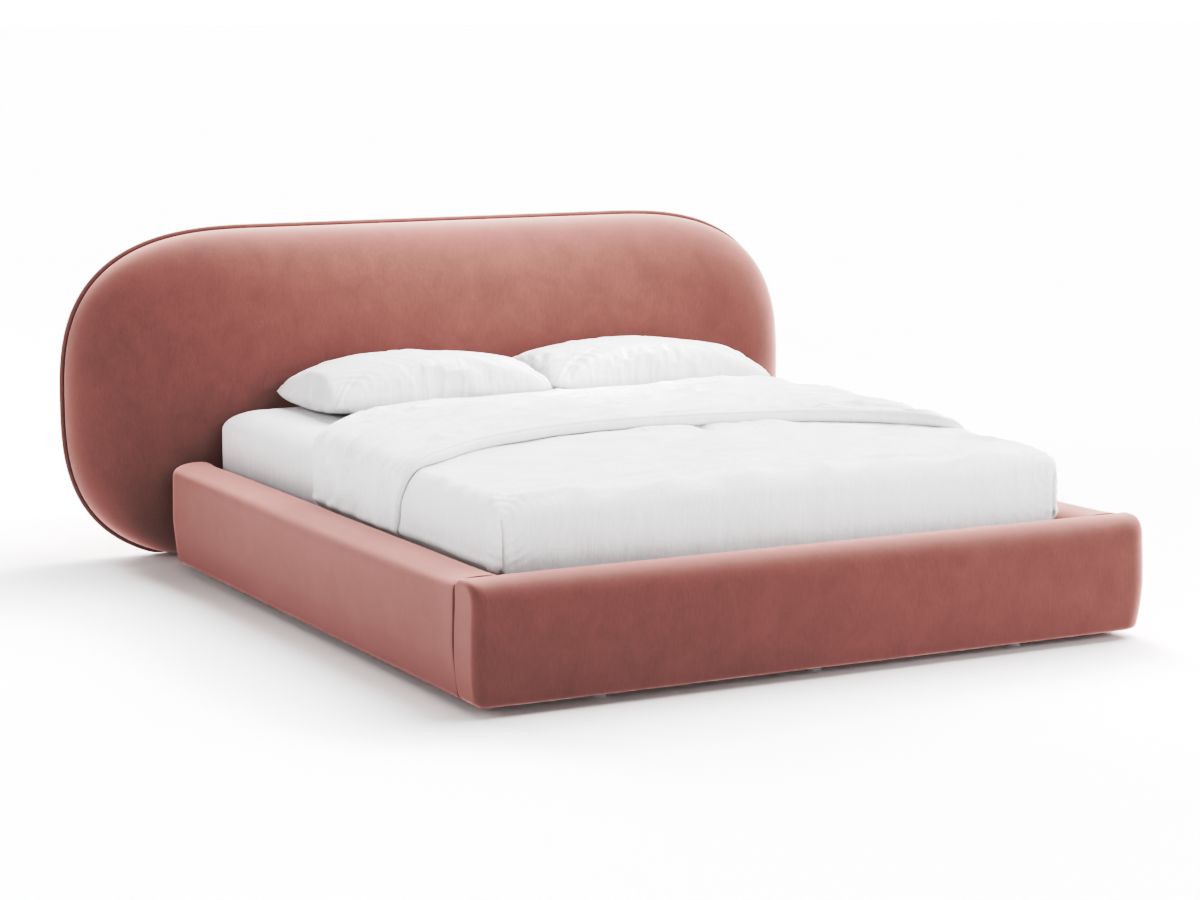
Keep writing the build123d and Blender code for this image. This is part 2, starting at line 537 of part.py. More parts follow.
with BuildPart() as duvet:
    with Locations((0, (DUVET_Y0 + DUVET_Y1) / 2, (DUVET_Z0 + DUVET_Z1) / 2)):
        Box(2 * DUVET_W, DUVET_Y1 - DUVET_Y0, DUVET_Z1 - DUVET_Z0)
    fillet(duvet.edges().filter_by(Axis.Z).group_by(Axis.Y)[0], 20.0)
    rim = duvet.faces().sort_by(Axis.Z)[-1].edges()
    fillet([e for e in rim if e.center().Y < DUVET_Y1 - 5], 29.0)
    with Locations((0, (FLAP_Y0 + DUVET_Y1) / 2, (DUVET_Z1 - 38.0 + FLAP_Z1) / 2)):
        Box(2 * DUVET_W, DUVET_Y1 - FLAP_Y0, FLAP_Z1 - DUVET_Z1 + 38.0)
    fillet(duvet.faces().sort_by(Axis.Z)[-1].edges(), 18.0)
    with Locations((0, (DUVET_Y0 + DUVET_Y1) / 2 + 11.0 + 50.0, MATT_Z1 + CLOTH + 0.6 - 150.0)):
        Box(2 * (MATT_W + CLOTH + 0.6), DUVET_Y1 - DUVET_Y0 + 100.0, 300.0, mode=Mode.SUBTRACT)
finish(duvet, "duvet")

PILLOW_Z0 = MATT_Z1 + CLOTH + 1.0
pillow_blocks = [
    soft_box(x0, x1, PILLOW_Y0, PILLOW_Y1, PILLOW_Z0, PILLOW_Z1, 80.0, 74.0, 74.0) for x0, x1 in PILLOW_X
]
with BuildPart() as pillow_left:
    add(pillow_blocks[0])
finish(pillow_left, "pillow_left")

with BuildPart() as pillow_right:
    add(pillow_blocks[1])
finish(pillow_right, "pillow_right")
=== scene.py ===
import math

import bmesh
import bpy
import numpy as np
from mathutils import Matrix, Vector


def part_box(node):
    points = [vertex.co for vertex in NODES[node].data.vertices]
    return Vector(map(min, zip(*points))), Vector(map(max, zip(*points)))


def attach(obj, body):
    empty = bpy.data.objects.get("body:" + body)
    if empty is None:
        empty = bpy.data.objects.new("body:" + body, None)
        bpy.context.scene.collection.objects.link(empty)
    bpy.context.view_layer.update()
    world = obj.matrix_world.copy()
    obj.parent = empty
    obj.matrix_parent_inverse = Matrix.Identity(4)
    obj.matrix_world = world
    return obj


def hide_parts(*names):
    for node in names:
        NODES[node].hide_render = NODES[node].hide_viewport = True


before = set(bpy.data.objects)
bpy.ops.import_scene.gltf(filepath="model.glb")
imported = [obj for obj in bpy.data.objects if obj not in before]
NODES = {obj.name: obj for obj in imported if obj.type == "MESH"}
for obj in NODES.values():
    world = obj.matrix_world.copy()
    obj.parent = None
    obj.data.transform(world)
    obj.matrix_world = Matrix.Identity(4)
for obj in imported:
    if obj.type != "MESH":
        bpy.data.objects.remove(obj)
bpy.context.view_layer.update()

SCENE = bpy.context.scene
PI = math.pi

# Lengths below are in millimetres: x across the bed, y from the foot (0) to the
# head, z up from the floor.  FOOT is where y = 0 lies in the shared frame.
FOOT = -1159.81


# ------------------------------------------------------------------ helpers
def metres(p):
    q = np.array(p, dtype=float)
    q[..., 1] += FOOT
    return q * 0.001


def smooth(a, b, t):
    t = np.clip((np.asarray(t, float) - a) / (b - a), 0.0, 1.0)
    return t * t * (3.0 - 2.0 * t)


def _cell(i, j, k, seed):
    n = (i * 73856093) ^ (j * 19349663) ^ (k * 83492791) ^ (seed * 265443576)
    n = n & 0xFFFFFFFF
    n = ((n ^ (n >> 13)) * 1274126177) & 0xFFFFFFFF
    n = n ^ (n >> 16)
    return (n & 0xFFFF) / 32767.5 - 1.0


def noise(x, y, z=0.0, seed=1):
    x, y, z = np.broadcast_arrays(np.asarray(x, float), np.asarray(y, float), np.asarray(z, float))
    i, j, k = (np.floor(c).astype(np.int64) for c in (x, y, z))
    fx, fy, fz = x - i, y - j, z - k
    ux, uy, uz = (f * f * f * (f * (f * 6 - 15) + 10) for f in (fx, fy, fz))
    total = 0.0
    for a in (0, 1):
        wx = ux if a else 1 - ux
        for b in (0, 1):
            wy = uy if b else 1 - uy
            for c in (0, 1):
                wz = uz if c else 1 - uz
                total = total + wx * wy * wz * _cell(i + a, j + b, k + c, seed)
    return total


def fbm(x, y, z=0.0, seed=1, octaves=3):
    total, amp, f = 0.0, 1.0, 1.0
    for o in range(octaves):
        total = total + amp * noise(np.asarray(x) * f, np.asarray(y) * f, np.asarray(z) * f, seed + 17 * o)
        amp *= 0.5
        f *= 2.03
    return total


def quads(rows, cols, base=0, wrap=True):
    idx = base + np.arange(rows * cols).reshape(rows, cols)
    if wrap:
        idx = np.hstack([idx, idx[:, :1]])
    return np.stack([idx[:-1, :-1], idx[:-1, 1:], idx[1:, 1:], idx[1:, :-1]], -1).reshape(-1, 4).tolist()


def zipper(a, b):
    """Triangles between two chains of vertex numbers of unequal length."""
    faces, i, j = [], 0, 0
    while i < len(a) - 1 or j < len(b) - 1:
        if j == len(b) - 1 or (i < len(a) - 1 and (i + 1) / (len(a) - 1) <= (j + 1) / (len(b) - 1)):
            faces.append((a[i], a[i + 1], b[j]))
            i += 1
        else:
            faces.append((a[i], b[j + 1], b[j]))
            j += 1
    return faces


def grid_normals(g, flip=1.0):
    du = np.gradient(g, axis=1)
    dv = np.gradient(g, axis=0)
    n = np.cross(du, dv) * flip
    length = np.linalg.norm(n, axis=-1, keepdims=True)
    bad = length[..., 0] < 1e-6
    n = n / np.maximum(length, 1e-9)
    n[bad] = (0.0, 0.0, 1.0)
    return n


def put(name, verts, faces, body, material, nodes=(), weld=0.00002):
    mesh = bpy.data.meshes.new(name)
    mesh.from_pydata(metres(np.asarray(verts, float).reshape(-1, 3)).tolist(), [], [tuple(int(i) for i in f) for f in faces])
    bm = bmesh.new()
    bm.from_mesh(mesh)
    bmesh.ops.remove_doubles(bm, verts=bm.verts, dist=weld)
    loose = [v for v in bm.verts if not v.link_faces]
    if loose:
        bmesh.ops.delete(bm, geom=loose, context="VERTS")
    bmesh.ops.recalc_face_normals(bm, faces=bm.faces)
    bm.to_mesh(mesh)
    bm.free()
    mesh.polygons.foreach_set("use_smooth", [True] * len(mesh.polygons))
    obj = bpy.data.objects.new(name, mesh)
    SCENE.collection.objects.link(obj)
    obj.data.materials.append(material)
    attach(obj, body)
    if nodes:
        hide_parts(*nodes)
    return obj


def spaced(path, n, closed=False):
    path = np.asarray(path, float)
    if closed:
        path = np.vstack([path, path[:1]])
    d = np.r_[0.0, np.cumsum(np.linalg.norm(np.diff(path, axis=0), axis=1))]
    t = np.linspace(0.0, d[-1], n + 1)[:-1] if closed else np.linspace(0.0, d[-1], n)
    return np.stack([np.interp(t, d, path[:, k]) for k in range(path.shape[1])], -1)


def relax(path, times):
    path = np.array(path, float)
    for _ in range(times):
        path = 0.5 * path + 0.25 * (np.roll(path, 1, 0) + np.roll(path, -1, 0))
    return path


def filleted(corners, steps=14):
    """Closed polygon of (a, b, radius) corners with each corner rounded."""
    pts, n = [], len(corners)
    for k in range(n):
        p = np.array(corners[k][:2], float)
        r = corners[k][2]
        u = np.array(corners[k - 1][:2], float) - p
        v = np.array(corners[(k + 1) % n][:2], float) - p
        u /= np.linalg.norm(u)
        v /= np.linalg.norm(v)
        half = math.acos(max(-1.0, min(1.0, float(u @ v)))) / 2
        t = r / math.tan(half)
        a, b = p + u * t, p + v * t
        c = p + (u + v) / np.linalg.norm(u + v) * (r / math.sin(half))
        a0 = math.atan2(*(a - c)[::-1])
        a1 = math.atan2(*(b - c)[::-1])
        turn = (a1 - a0 + PI) % (2 * PI) - PI
        for s in np.linspace(0, 1, steps):
            pts.append(c + r * np.array([math.cos(a0 + turn * s), math.sin(a0 + turn * s)]))
    return np.array(pts)


# ---------------------------------------------------------------- materials
def material(name):
    m = bpy.data.materials.new(name)
    m.use_nodes = True
    t = m.node_tree
    return m, t, t.nodes["Principled BSDF"]


def coords(t, scale, turn=(0, 0, 0)):
    c = t.nodes.new("ShaderNodeTexCoord")
    mp = t.nodes.new("ShaderNodeMapping")
    mp.inputs["Scale"].default_value = scale
    mp.inputs["Rotation"].default_value = turn
    t.links.new(c.outputs["Object"], mp.inputs["Vector"])
    return mp.outputs["Vector"]


def grain(t, scale, detail=2.0, rough=0.5, size=1.0, distortion=0.0):
    n = t.nodes.new("ShaderNodeTexNoise")
    n.inputs["Scale"].default_value = size
    n.inputs["Detail"].default_value = detail
    n.inputs["Roughness"].default_value = rough
    n.inputs["Distortion"].default_value = distortion
    t.links.new(coords(t, scale), n.inputs["Vector"])
    return n.outputs["Fac"]


def ramp(t, fac, stops):
    r = t.nodes.new("ShaderNodeValToRGB")
    e = r.color_ramp.elements
    e[0].position, e[0].color = stops[0][0], (*stops[0][1], 1.0)
    e[1].position, e[1].color = stops[-1][0], (*stops[-1][1], 1.0)
    for pos, col in stops[1:-1]:
        k = e.new(pos)
        k.color = (*col, 1.0)
    t.links.new(fac, r.inputs["Fac"])
    return r.outputs["Color"]


def multiply(t, a, b, amount=1.0):
    m = t.nodes.new("ShaderNodeMix")
    m.data_type = "RGBA"
    m.blend_type = "MULTIPLY"
    m.inputs[0].default_value = amount
    t.links.new(a, m.inputs[6])
    t.links.new(b, m.inputs[7])
    return m.outputs[2]


def add_up(t, a, b, gain=1.0):
    m = t.nodes.new("ShaderNodeMath")
    m.operation = "MULTIPLY_ADD"
    m.inputs[1].default_value = gain
    t.links.new(b, m.inputs[0])
    t.links.new(a, m.inputs[2])
    return m.outputs["Value"]


def bump(t, bsdf, height, strength, distance):
    b = t.nodes.new("ShaderNodeBump")
    b.inputs["Strength"].default_value = strength
    b.inputs["Distance"].default_value = distance
    t.links.new(height, b.inputs["Height"])
    t.links.new(b.outputs["Normal"], bsdf.inputs["Normal"])


def grey(v):
    return (v, v, v)


def velvet(name, colour, sheen, tint, sheen_rough=0.42):
    m, t, b = material(name)
    dark = tuple(c * 0.915 for c in colour)
    light = tuple(min(1.0, c * 1.085) for c in colour)
    cloud = ramp(t, grain(t, (13.0, 13.0, 10.0), 6.0, 0.62, distortion=0.6), [(0.34, dark), (0.66, light)])
    nap = ramp(t, grain(t, (170.0, 170.0, 46.0), 3.0, 0.6), [(0.32, grey(0.94)), (0.68, grey(1.05))])
    pile = ramp(t, grain(t, (620.0, 620.0, 460.0), 2.0, 0.6), [(0.3, grey(0.92)), (0.7, grey(1.06))])
    t.links.new(multiply(t, multiply(t, cloud, nap), pile), b.inputs["Base Color"])
    b.inputs["Roughness"].default_value = 0.62
    b.inputs["Specular IOR Level"].default_value = 0.06
    b.inputs["Sheen Weight"].default_value = sheen
    b.inputs["Sheen Roughness"].default_value = sheen_rough
    b.inputs["Sheen Tint"].default_value = (*tint, 1.0)
    rough = add_up(t, grain(t, (240.0, 240.0, 70.0), 3.0, 0.6), grain(t, (900.0, 900.0, 700.0), 1.0), 0.6)
    bump(t, b, rough, 0.22, 0.0008)
    return m


def cotton(name, colour, weave=0.35, fine=1.0, crumple=6.0):
    m, t, b = material(name)
    lo = tuple(c * 0.965 for c in colour)
    thread = grain(t, (820.0 * fine, 820.0 * fine, 60.0 * fine), 2.0, 0.6)
    cross = grain(t, (70.0 * fine, 760.0 * fine, 760.0 * fine), 2.0, 0.6)
    both = add_up(t, thread, cross, 0.6)
    slub = grain(t, (240.0 * fine, 240.0 * fine, 11.0 * fine), 2.0, 0.6)
    tone = ramp(t, slub, [(0.35, grey(0.93)), (0.62, grey(1.0))])
    t.links.new(multiply(t, ramp(t, both, [(0.55, lo), (1.05, colour)]), tone), b.inputs["Base Color"])
    both = add_up(t, add_up(t, both, slub, 0.9), grain(t, (46.0, 46.0, 34.0), 4.0, 0.6, distortion=0.8), crumple)
    b.inputs["Roughness"].default_value = 0.88
    b.inputs["Specular IOR Level"].default_value = 0.15
    b.inputs["Sheen Weight"].default_value = 0.12
    b.inputs["Sheen Roughness"].default_value = 0.5
    bump(t, b, both, weave, 0.0006)
    return m


def wood(name, light, dark, along):
    m, t, b = material(name)
    s = [46.0, 46.0, 46.0]
    s[along] = 2.2
    f = [420.0, 420.0, 420.0]
    f[along] = 14.0
    ring = grain(t, tuple(s), 4.0, 0.6, distortion=0.6)
    pore = grain(t, tuple(f), 2.0, 0.6)
    t.links.new(multiply(t, ramp(t, ring, [(0.32, dark), (0.62, light)]), ramp(t, pore, [(0.3, grey(0.86)), (0.6, grey(1.0))])), b.inputs["Base Color"])
    b.inputs["Roughness"].default_value = 0.62
    bump(t, b, pore, 0.2, 0.0004)
    return m


def board(name, light, dark):
    m, t, b = material(name)
    t.links.new(ramp(t, grain(t, (150.0, 150.0, 150.0), 4.0, 0.7), [(0.35, dark), (0.65, light)]), b.inputs["Base Color"])
    b.inputs["Roughness"].default_value = 0.75
    bump(t, b, grain(t, (320.0, 320.0, 320.0), 2.0), 0.15, 0.0004)
    return m


def metal(name, colour, rough, metallic):
    m, t, b = material(name)
    lo = tuple(c * 0.85 for c in colour)
    t.links.new(ramp(t, grain(t, (60.0, 60.0, 60.0), 3.0), [(0.35, lo), (0.65, colour)]), b.inputs["Base Color"])
    b.inputs["Roughness"].default_value = rough
    b.inputs["Metallic"].default_value = metallic
    bump(t, b, grain(t, (700.0, 700.0, 700.0), 2.0), 0.08, 0.0003)
    return m


VELVET = velvet("velvet_rose", (0.125, 0.057, 0.049), 0.94, (1.0, 0.57, 0.535), 0.50)
# piping velvet: lighter base but far less sheen than the pad velvet, so the bead renders darker; partly the cord's own
# duller pile, partly painted shade for the shaded edge band
PIPING_DULL_AND_SHADED = velvet("velvet_piping_dull_and_shaded", (0.165, 0.078, 0.068), 0.32, (1.0, 0.62, 0.58), 0.5)
DUVET = cotton("cotton_duvet", (0.755, 0.755, 0.76), 0.55)
# pillow cotton: the same white cotton as the duvet made darker, painted shade that offsets the extra light the pillows
# get from the spots
PILLOW_COTTON_SHADED = cotton("cotton_pillow_shaded", (0.66, 0.66, 0.665), 0.55)
SHEET = cotton("cotton_sheet", (0.755, 0.755, 0.76), 0.35)
NYLON = metal("nylon_grey", (0.42, 0.42, 0.43), 0.6, 0.0)
TICKING = cotton("mattress_ticking", (0.80, 0.79, 0.77), 0.5, 0.5)
TIMBER_X = wood("timber_across", (0.62, 0.43, 0.25), (0.47, 0.30, 0.16), 0)
TIMBER_Y = wood("timber_along", (0.62, 0.43, 0.25), (0.47, 0.30, 0.16), 1)
TIMBER_Z = wood("timber_upright", (0.60, 0.42, 0.25), (0.46, 0.30, 0.16), 2)
SLAT = wood("slat_beech", (0.66, 0.46, 0.28), (0.54, 0.36, 0.20), 0)
HARDBOARD = board("hardboard", (0.36, 0.24, 0.14), (0.27, 0.17, 0.10))
STEEL = metal("steel_powder_black", (0.035, 0.035, 0.037), 0.48, 0.0)
ZINC = metal("zinc_plate", (0.62, 0.63, 0.65), 0.34, 1.0)
PLASTIC = metal("plastic_black", (0.024, 0.024, 0.026), 0.55, 0.0)

CAD_LOOKS = {
    "headboard_face_board": HARDBOARD, "headboard_back_board": HARDBOARD,
    "headboard_frame": TIMBER_X, "headboard_inserts": ZINC, "headboard_glides": PLASTIC,
    "rail_core_left": TIMBER_Y, "rail_core_right": TIMBER_Y, "rail_feet": NYLON,
    "footboard_core": TIMBER_X, "footboard_feet": NYLON,
    "head_rail": TIMBER_X, "headboard_spacers": TIMBER_Z, "headboard_bolts": ZINC,
    "corner_brackets": STEEL, "bracket_bolts": ZINC,
    "slat_ledge_left": TIMBER_Y, "slat_ledge_right": TIMBER_Y, "ledge_screws": ZINC,
    "centre_beam": TIMBER_Y, "beam_hangers": STEEL, "hanger_screws": ZINC,
    "centre_legs": STEEL, "centre_leg_glides": PLASTIC,
    "slat_holders_left": PLASTIC, "slat_holders_right": PLASTIC, "slat_holders_centre": PLASTIC,
    "slats_left": SLAT, "slats_right": SLAT,
}
for node, look in CAD_LOOKS.items():
    NODES[node].data.materials.clear()
    NODES[node].data.materials.append(look)


# ---------------------------------------------------------------- headboard
HB_W, HB_H, HB_ZM, HB_RX, HB_N = 1200.4, 497.2, 470.6, 612.0, 2.79
PAD_BACK, SEAM, BOARD_FRONT, BACK = 2302.7, 2308.0, 2313.6, 2332.0
_p = 2.0 / HB_N
_f = np.linspace(0.0, PI / 2, 6001)
_fx, _fz = HB_RX * np.cos(_f) ** _p, HB_H * np.sin(_f) ** _p
_s = np.r_[0.0, np.cumsum(np.hypot(np.diff(_fx), np.diff(_fz)))]
ARC = np.interp(np.linspace(0.0, _s[-1], 92), _s, _f)


def pill(inset, straight=100):
    a, b, c = HB_RX - inset, HB_H - inset, HB_W - HB_RX
    qx = c + a * np.clip(np.cos(ARC), 0, 1) ** _p
    qz = b * np.clip(np.sin(ARC), 0, 1) ** _p
    mid = np.linspace(c, -c, straight + 1)[1:-1]
    x = np.concatenate([qx, mid, -qx[::-1], -qx[1:], -mid, qx[::-1][:-1]])
    z = np.concatenate([qz, np.full(mid.shape, b), qz[::-1], -qz[1:], np.full(mid.shape, -b), -qz[::-1][:-1]])
    return x, z + HB_ZM


def pill_ring(inset, y, low=5.0):
    x, z = pill(inset)
    return np.stack([x, np.full_like(x, y), low + 3.0 * np.logaddexp(0.0, (z - low) / 3.0)], -1)


def headboard():
    roll, edge = 200.0, PAD_BACK - 6.0
    front = 2130.0
    drawn = 4.6
    rows = [pill_ring(i, PAD_BACK) for i in (HB_H, 340.0, 180.0, 70.0, 20.0, 9.0)]
    rows += [pill_ring(drawn + 1.8, PAD_BACK - 1.8), pill_ring(drawn, edge)]
    for a in np.linspace(0.0, PI / 2, 34)[1:]:
        rows.append(pill_ring(drawn + (roll - drawn) * (1 - math.cos(a)), edge - (edge - front) * math.sin(a)))
    for i in np.linspace(roll, HB_H, 28)[1:]:
        t = (i - roll) / (HB_H - roll)
        rows.append(pill_ring(i, front - 6.0 * (1 - (1 - t) ** 2)))
    g = np.array(rows)
    w = smooth(PAD_BACK - 8.0, PAD_BACK - 120.0, g[..., 1])
    g[8:, :, 1] += (w * (1.5 * fbm(g[..., 0] / 260.0, g[..., 2] / 210.0, 0.3, 5) + 0.5 * noise(g[..., 0] / 70.0, g[..., 2] / 70.0, 0.7, 9)))[8:]
    r, c = g.shape[:2]
    obj = put("headboard_pad", g, quads(r, c), "bed_frame", VELVET, ("headboard_cover", "headboard_foam"))

    x, z = pill(0.0)
    path = spaced(np.stack([x, np.maximum(z, 10.3)], -1), 760, True)
    path = relax(path, 6)
    tang = np.roll(path, -1, 0) - np.roll(path, 1, 0)
    tang /= np.linalg.norm(tang, axis=1, keepdims=True)
    nor = np.stack([tang[:, 1], -tang[:, 0]], -1)
    rows = []
    for a in np.linspace(0, 2 * PI, 15)[:-1]:
        q = path + nor * 6.0 * math.cos(a)
        rows.append(np.stack([q[:, 0], np.full(len(q), SEAM + 5.3 * math.sin(a)), np.maximum(q[:, 1], 5.2)], -1))
    rows.append(rows[0])
    g = np.array(rows)
    put("headboard_piping_bead", g, quads(g.shape[0], g.shape[1]), "bed_frame", PIPING_DULL_AND_SHADED, ("headboard_piping",))

    rows = [pill_ring(i, BOARD_FRONT - 0.6) for i in (HB_H, 300.0, 120.0, 30.0, 9.0)]
    rows += [pill_ring(4.8, BOARD_FRONT - 0.2), pill_ring(4.3, BOARD_FRONT + 3.0)]
    for a in np.linspace(0.0, PI / 2, 9):
        rows.append(pill_ring(4.3 + 6.0 * (1 - math.cos(a)), BACK - 6.0 + 6.0 * math.sin(a), 5.0 + 4.0 * (1 - math.cos(a))))
    rows += [pill_ring(i, BACK, 9.0) for i in (24.0, 60.0, 120.0, 200.0, 280.0, 360.0, 430.0, HB_H)]
    g = np.array(rows)
    put("headboard_back_panel", g, quads(g.shape[0], g.shape[1]), "bed_frame", VELVET, ("headboard_back_cover",))


headboard()


# ------------------------------------------------------ side rails, footboard
def shrink(e, r):
    """How far a face has drawn in, at distance e from an end rounded by r."""
    e = np.minimum(np.maximum(e, 0.0), r)
    return r - np.sqrt(np.maximum(r * r - (r - e) ** 2, 0.0))


def bar_stations(length, first, last, pitch):
    a = first * (1 - np.cos(np.linspace(0, PI / 2, 16)))
    b = length - last * (1 - np.cos(np.linspace(0, PI / 2, 16)))[::-1]
    n = max(8, int((b[0] - a[-1]) / pitch))
    return np.concatenate([a, np.linspace(a[-1], b[0], n + 1)[1:-1], b])


def squircle(cx, cz, a, b, n, t0, t1, steps=40):
    """Part of a squared-off ellipse, as the roll of a padded edge."""
    t = np.linspace(t0, t1, steps)
    c, s = np.cos(t), np.sin(t)
    return np.stack([cx + a * np.sign(c) * np.abs(c) ** (2 / n), cz + b * np.sign(s) * np.abs(s) ** (2 / n)], -1)


def rail(side):
    y0, y1, x_in, z_lo = 113.0, 2104.0, 803.0, 25.0
    face = filleted([(803.0, 25.0, 8.0), (953.0, 25.0, 12.0), (968.3, 150.0, 420.0), (965.5, 252.0, 0.5), (803.0, 252.0, 0.5)], 16)
    face = face[:48]

    def section(cx, cz, a, b, n):
        """Cross-section with the outer top roll set by a squared ellipse."""
        p = np.concatenate([face, squircle(cx, cz, a, b, n, 0.0, PI / 2), squircle(cx, 256.0, cx - 803.0, cz + b - 256.0, 2.3, PI / 2, PI)])
        p = relax(spaced(p, 210, True), 4)
        return np.clip(p, (803.0, 25.0), (967.5, 314.0))

    soft, tight = section(884.0, 252.0, 81.5, 58.0, 3.1), section(888.0, 278.0, 77.5, 36.0, 3.2)
    tucked = section(888.0, 276.0, 77.5, 28.0, 3.0)
    head = dict(out=92.0, top=12.0, inn=12.0, low=16.0)
    foot = dict(out=5.0, top=4.0, inn=5.0, low=5.0)
    ys = y0 + bar_stations(y1 - y0, foot["out"], head["out"], 11.0)
    rows = []
    for y in ys:
        prof = soft + (tight - soft) * math.exp(-(y - y0) / 170.0) + (tucked - soft) * math.exp(-(y1 - y) / 230.0)
        cut = {k: shrink(y - y0, foot[k]) + shrink(y1 - y, head[k]) for k in foot}
        sx = (967.5 - cut["out"] - (x_in + cut["inn"])) / (967.5 - x_in)
        sz = (314.0 - cut["top"] - (z_lo + cut["low"])) / (314.0 - z_lo)
        x = x_in + cut["inn"] + (prof[:, 0] - x_in) * sx
        z = z_lo + cut["low"] + (prof[:, 1] - z_lo) * sz
        rows.append(np.stack([x, np.full_like(x, y), z], -1))
    g = np.array(rows)
    mid = np.array([885.0, 0.0, 165.0])
    w = smooth(60.0, 120.0, g[..., 2]) * smooth(0.0, 60.0, g[..., 1] - y0) * smooth(0.0, 90.0, y1 - g[..., 1])
    out = g - mid
    out[..., 1] = 0.0
    out /= np.maximum(np.linalg.norm(out, axis=-1, keepdims=True), 1e-6)
    swell = 0.8 * fbm(g[..., 1] / 260.0, g[..., 2] / 150.0, side * 3.7, 21) - 0.8
    g += out * (w * swell)[..., None]
    caps = []
    for ring, toward in ((g[0], -1.0), (g[-1], 1.0)):
        centre = ring.mean(0)
        caps.append([centre + (ring - centre) * k for k in (0.0, 0.3, 0.6, 0.85)])
    g = np.concatenate([np.array(caps[0]), g, np.array(caps[1])[::-1]])
    g[..., 0] *= side
    name = "right" if side > 0 else "left"
    obj = put("rail_pad_" + name, g, quads(g.shape[0], g.shape[1]), "bed_frame", VELVET,
              ("rail_cover_" + name, "rail_foam_" + name))


rail(-1)
rail(1)


def footboard():
    face = filleted([(-8.5, 226.0, 0.5), (-13.2, 150.0, 420.0), (-1.0, 25.0, 12.0), (110.0, 25.0, 7.0), (110.0, 296.0, 0.5)], 16)

    def section(cy, cz, a, b, n):
        p = np.concatenate([squircle(cy, cz, a, b, n, PI / 2, PI), face[16:64], squircle(88.0, 296.0, 22.0, 22.0, 2.2, 0.0, PI / 2, 16)])
        p = relax(spaced(p, 200, True), 5)
        return np.clip(p, (-12.4, 25.0), (110.0, 318.0))

    soft, tight = section(84.0, 226.0, 93.0, 92.0, 2.55), section(66.0, 262.0, 76.0, 56.0, 2.7)
    ends = (dict(front=30.0, back=5.0, top=12.0, low=17.0), dict(front=70.0, back=5.0, top=22.0, low=19.0))
    xs = bar_stations(1935.0, 30.0, 70.0, 11.0) - 967.5
    rows = []
    for x in xs:
        e = 967.5 - abs(x)
        prof = soft + (tight - soft) * math.exp(-e / 75.0)
        cut = {k: shrink(e, r) for k, r in ends[int(x > 0)].items()}
        sy = (110.0 - cut["back"] + 12.4 - cut["front"]) / 122.4
        sz = (318.0 - cut["top"] - 25.0 - cut["low"]) / 293.0
        y = -12.4 + cut["front"] + (prof[:, 0] + 12.4) * sy
        z = 25.0 + cut["low"] + (prof[:, 1] - 25.0) * sz
        rows.append(np.stack([np.full_like(y, x), y, z], -1))
    g = np.array(rows)
    w = smooth(60.0, 120.0, g[..., 2]) * smooth(0.0, 90.0, 967.5 - np.abs(g[..., 0]))
    g[..., 1] -= w * smooth(60.0, 10.0, g[..., 1]) * (0.9 * fbm(g[..., 0] / 260.0, g[..., 2] / 150.0, 0.0, 33) - 0.9)
    caps = []
    for ring in (g[0], g[-1]):
        centre = ring.mean(0)
        caps.append([centre + (ring - centre) * k for k in (0.0, 0.15, 0.3, 0.45, 0.6, 0.72, 0.82, 0.90, 0.96)])
    g = np.concatenate([np.array(caps[0]), g, np.array(caps[1])[::-1]])
    lean = np.where(g[..., 2] < 150.0, 13.0 * ((150.0 - g[..., 2]) / 125.0) ** 2, 3.0 * (np.minimum(g[..., 2] - 150.0, 100.0) / 100.0) ** 2)
    lean = lean + np.where(g[..., 0] > 0, 4.0, 0.0)
    g[..., 0] -= np.sign(g[..., 0]) * lean * smooth(160.0, 0.0, 967.5 - np.abs(g[..., 0]))
    obj = put("footboard_pad", g, quads(g.shape[0], g.shape[1]), "bed_frame", VELVET, ("footboard_cover", "footboard_foam"))


footboard()


# --------------------------------------------------- mattress, fitted sheet
def rect_ring(x, y0, y1, r, arc=10, nx=60, ny=76):
    """Rounded rectangle, half width x, from y0 to y1, always the same number of points."""
    r = max(min(r, x, (y1 - y0) / 2), 0.0)
    pts = []
    for cx, cy, a0 in ((x - r, y0 + r, -PI / 2), (x - r, y1 - r, 0.0), (-x + r, y1 - r, PI / 2), (-x + r, y0 + r, PI)):
        for a in np.linspace(a0, a0 + PI / 2, arc):
            pts.append((cx + r * math.cos(a), cy + r * math.sin(a)))
        nxt = {-PI / 2: ((x, y1 - r), ny), 0.0: ((-x + r, y1), nx), PI / 2: ((-x, y0 + r), ny), PI: ((x - r, y0), nx)}[a0]
        last = pts[-1]
        for s in np.linspace(0, 1, nxt[1] + 1)[1:-1]:
            pts.append((last[0] + (nxt[0][0] - last[0]) * s, last[1] + (nxt[0][1] - last[1]) * s))
    return np.array(pts)


def slab_ring(x, y0, y1, r, inset, z):
    p = rect_ring(x - inset, y0 + inset, y1 - inset, r)
    return np.column_stack([p, np.full(len(p), z)])


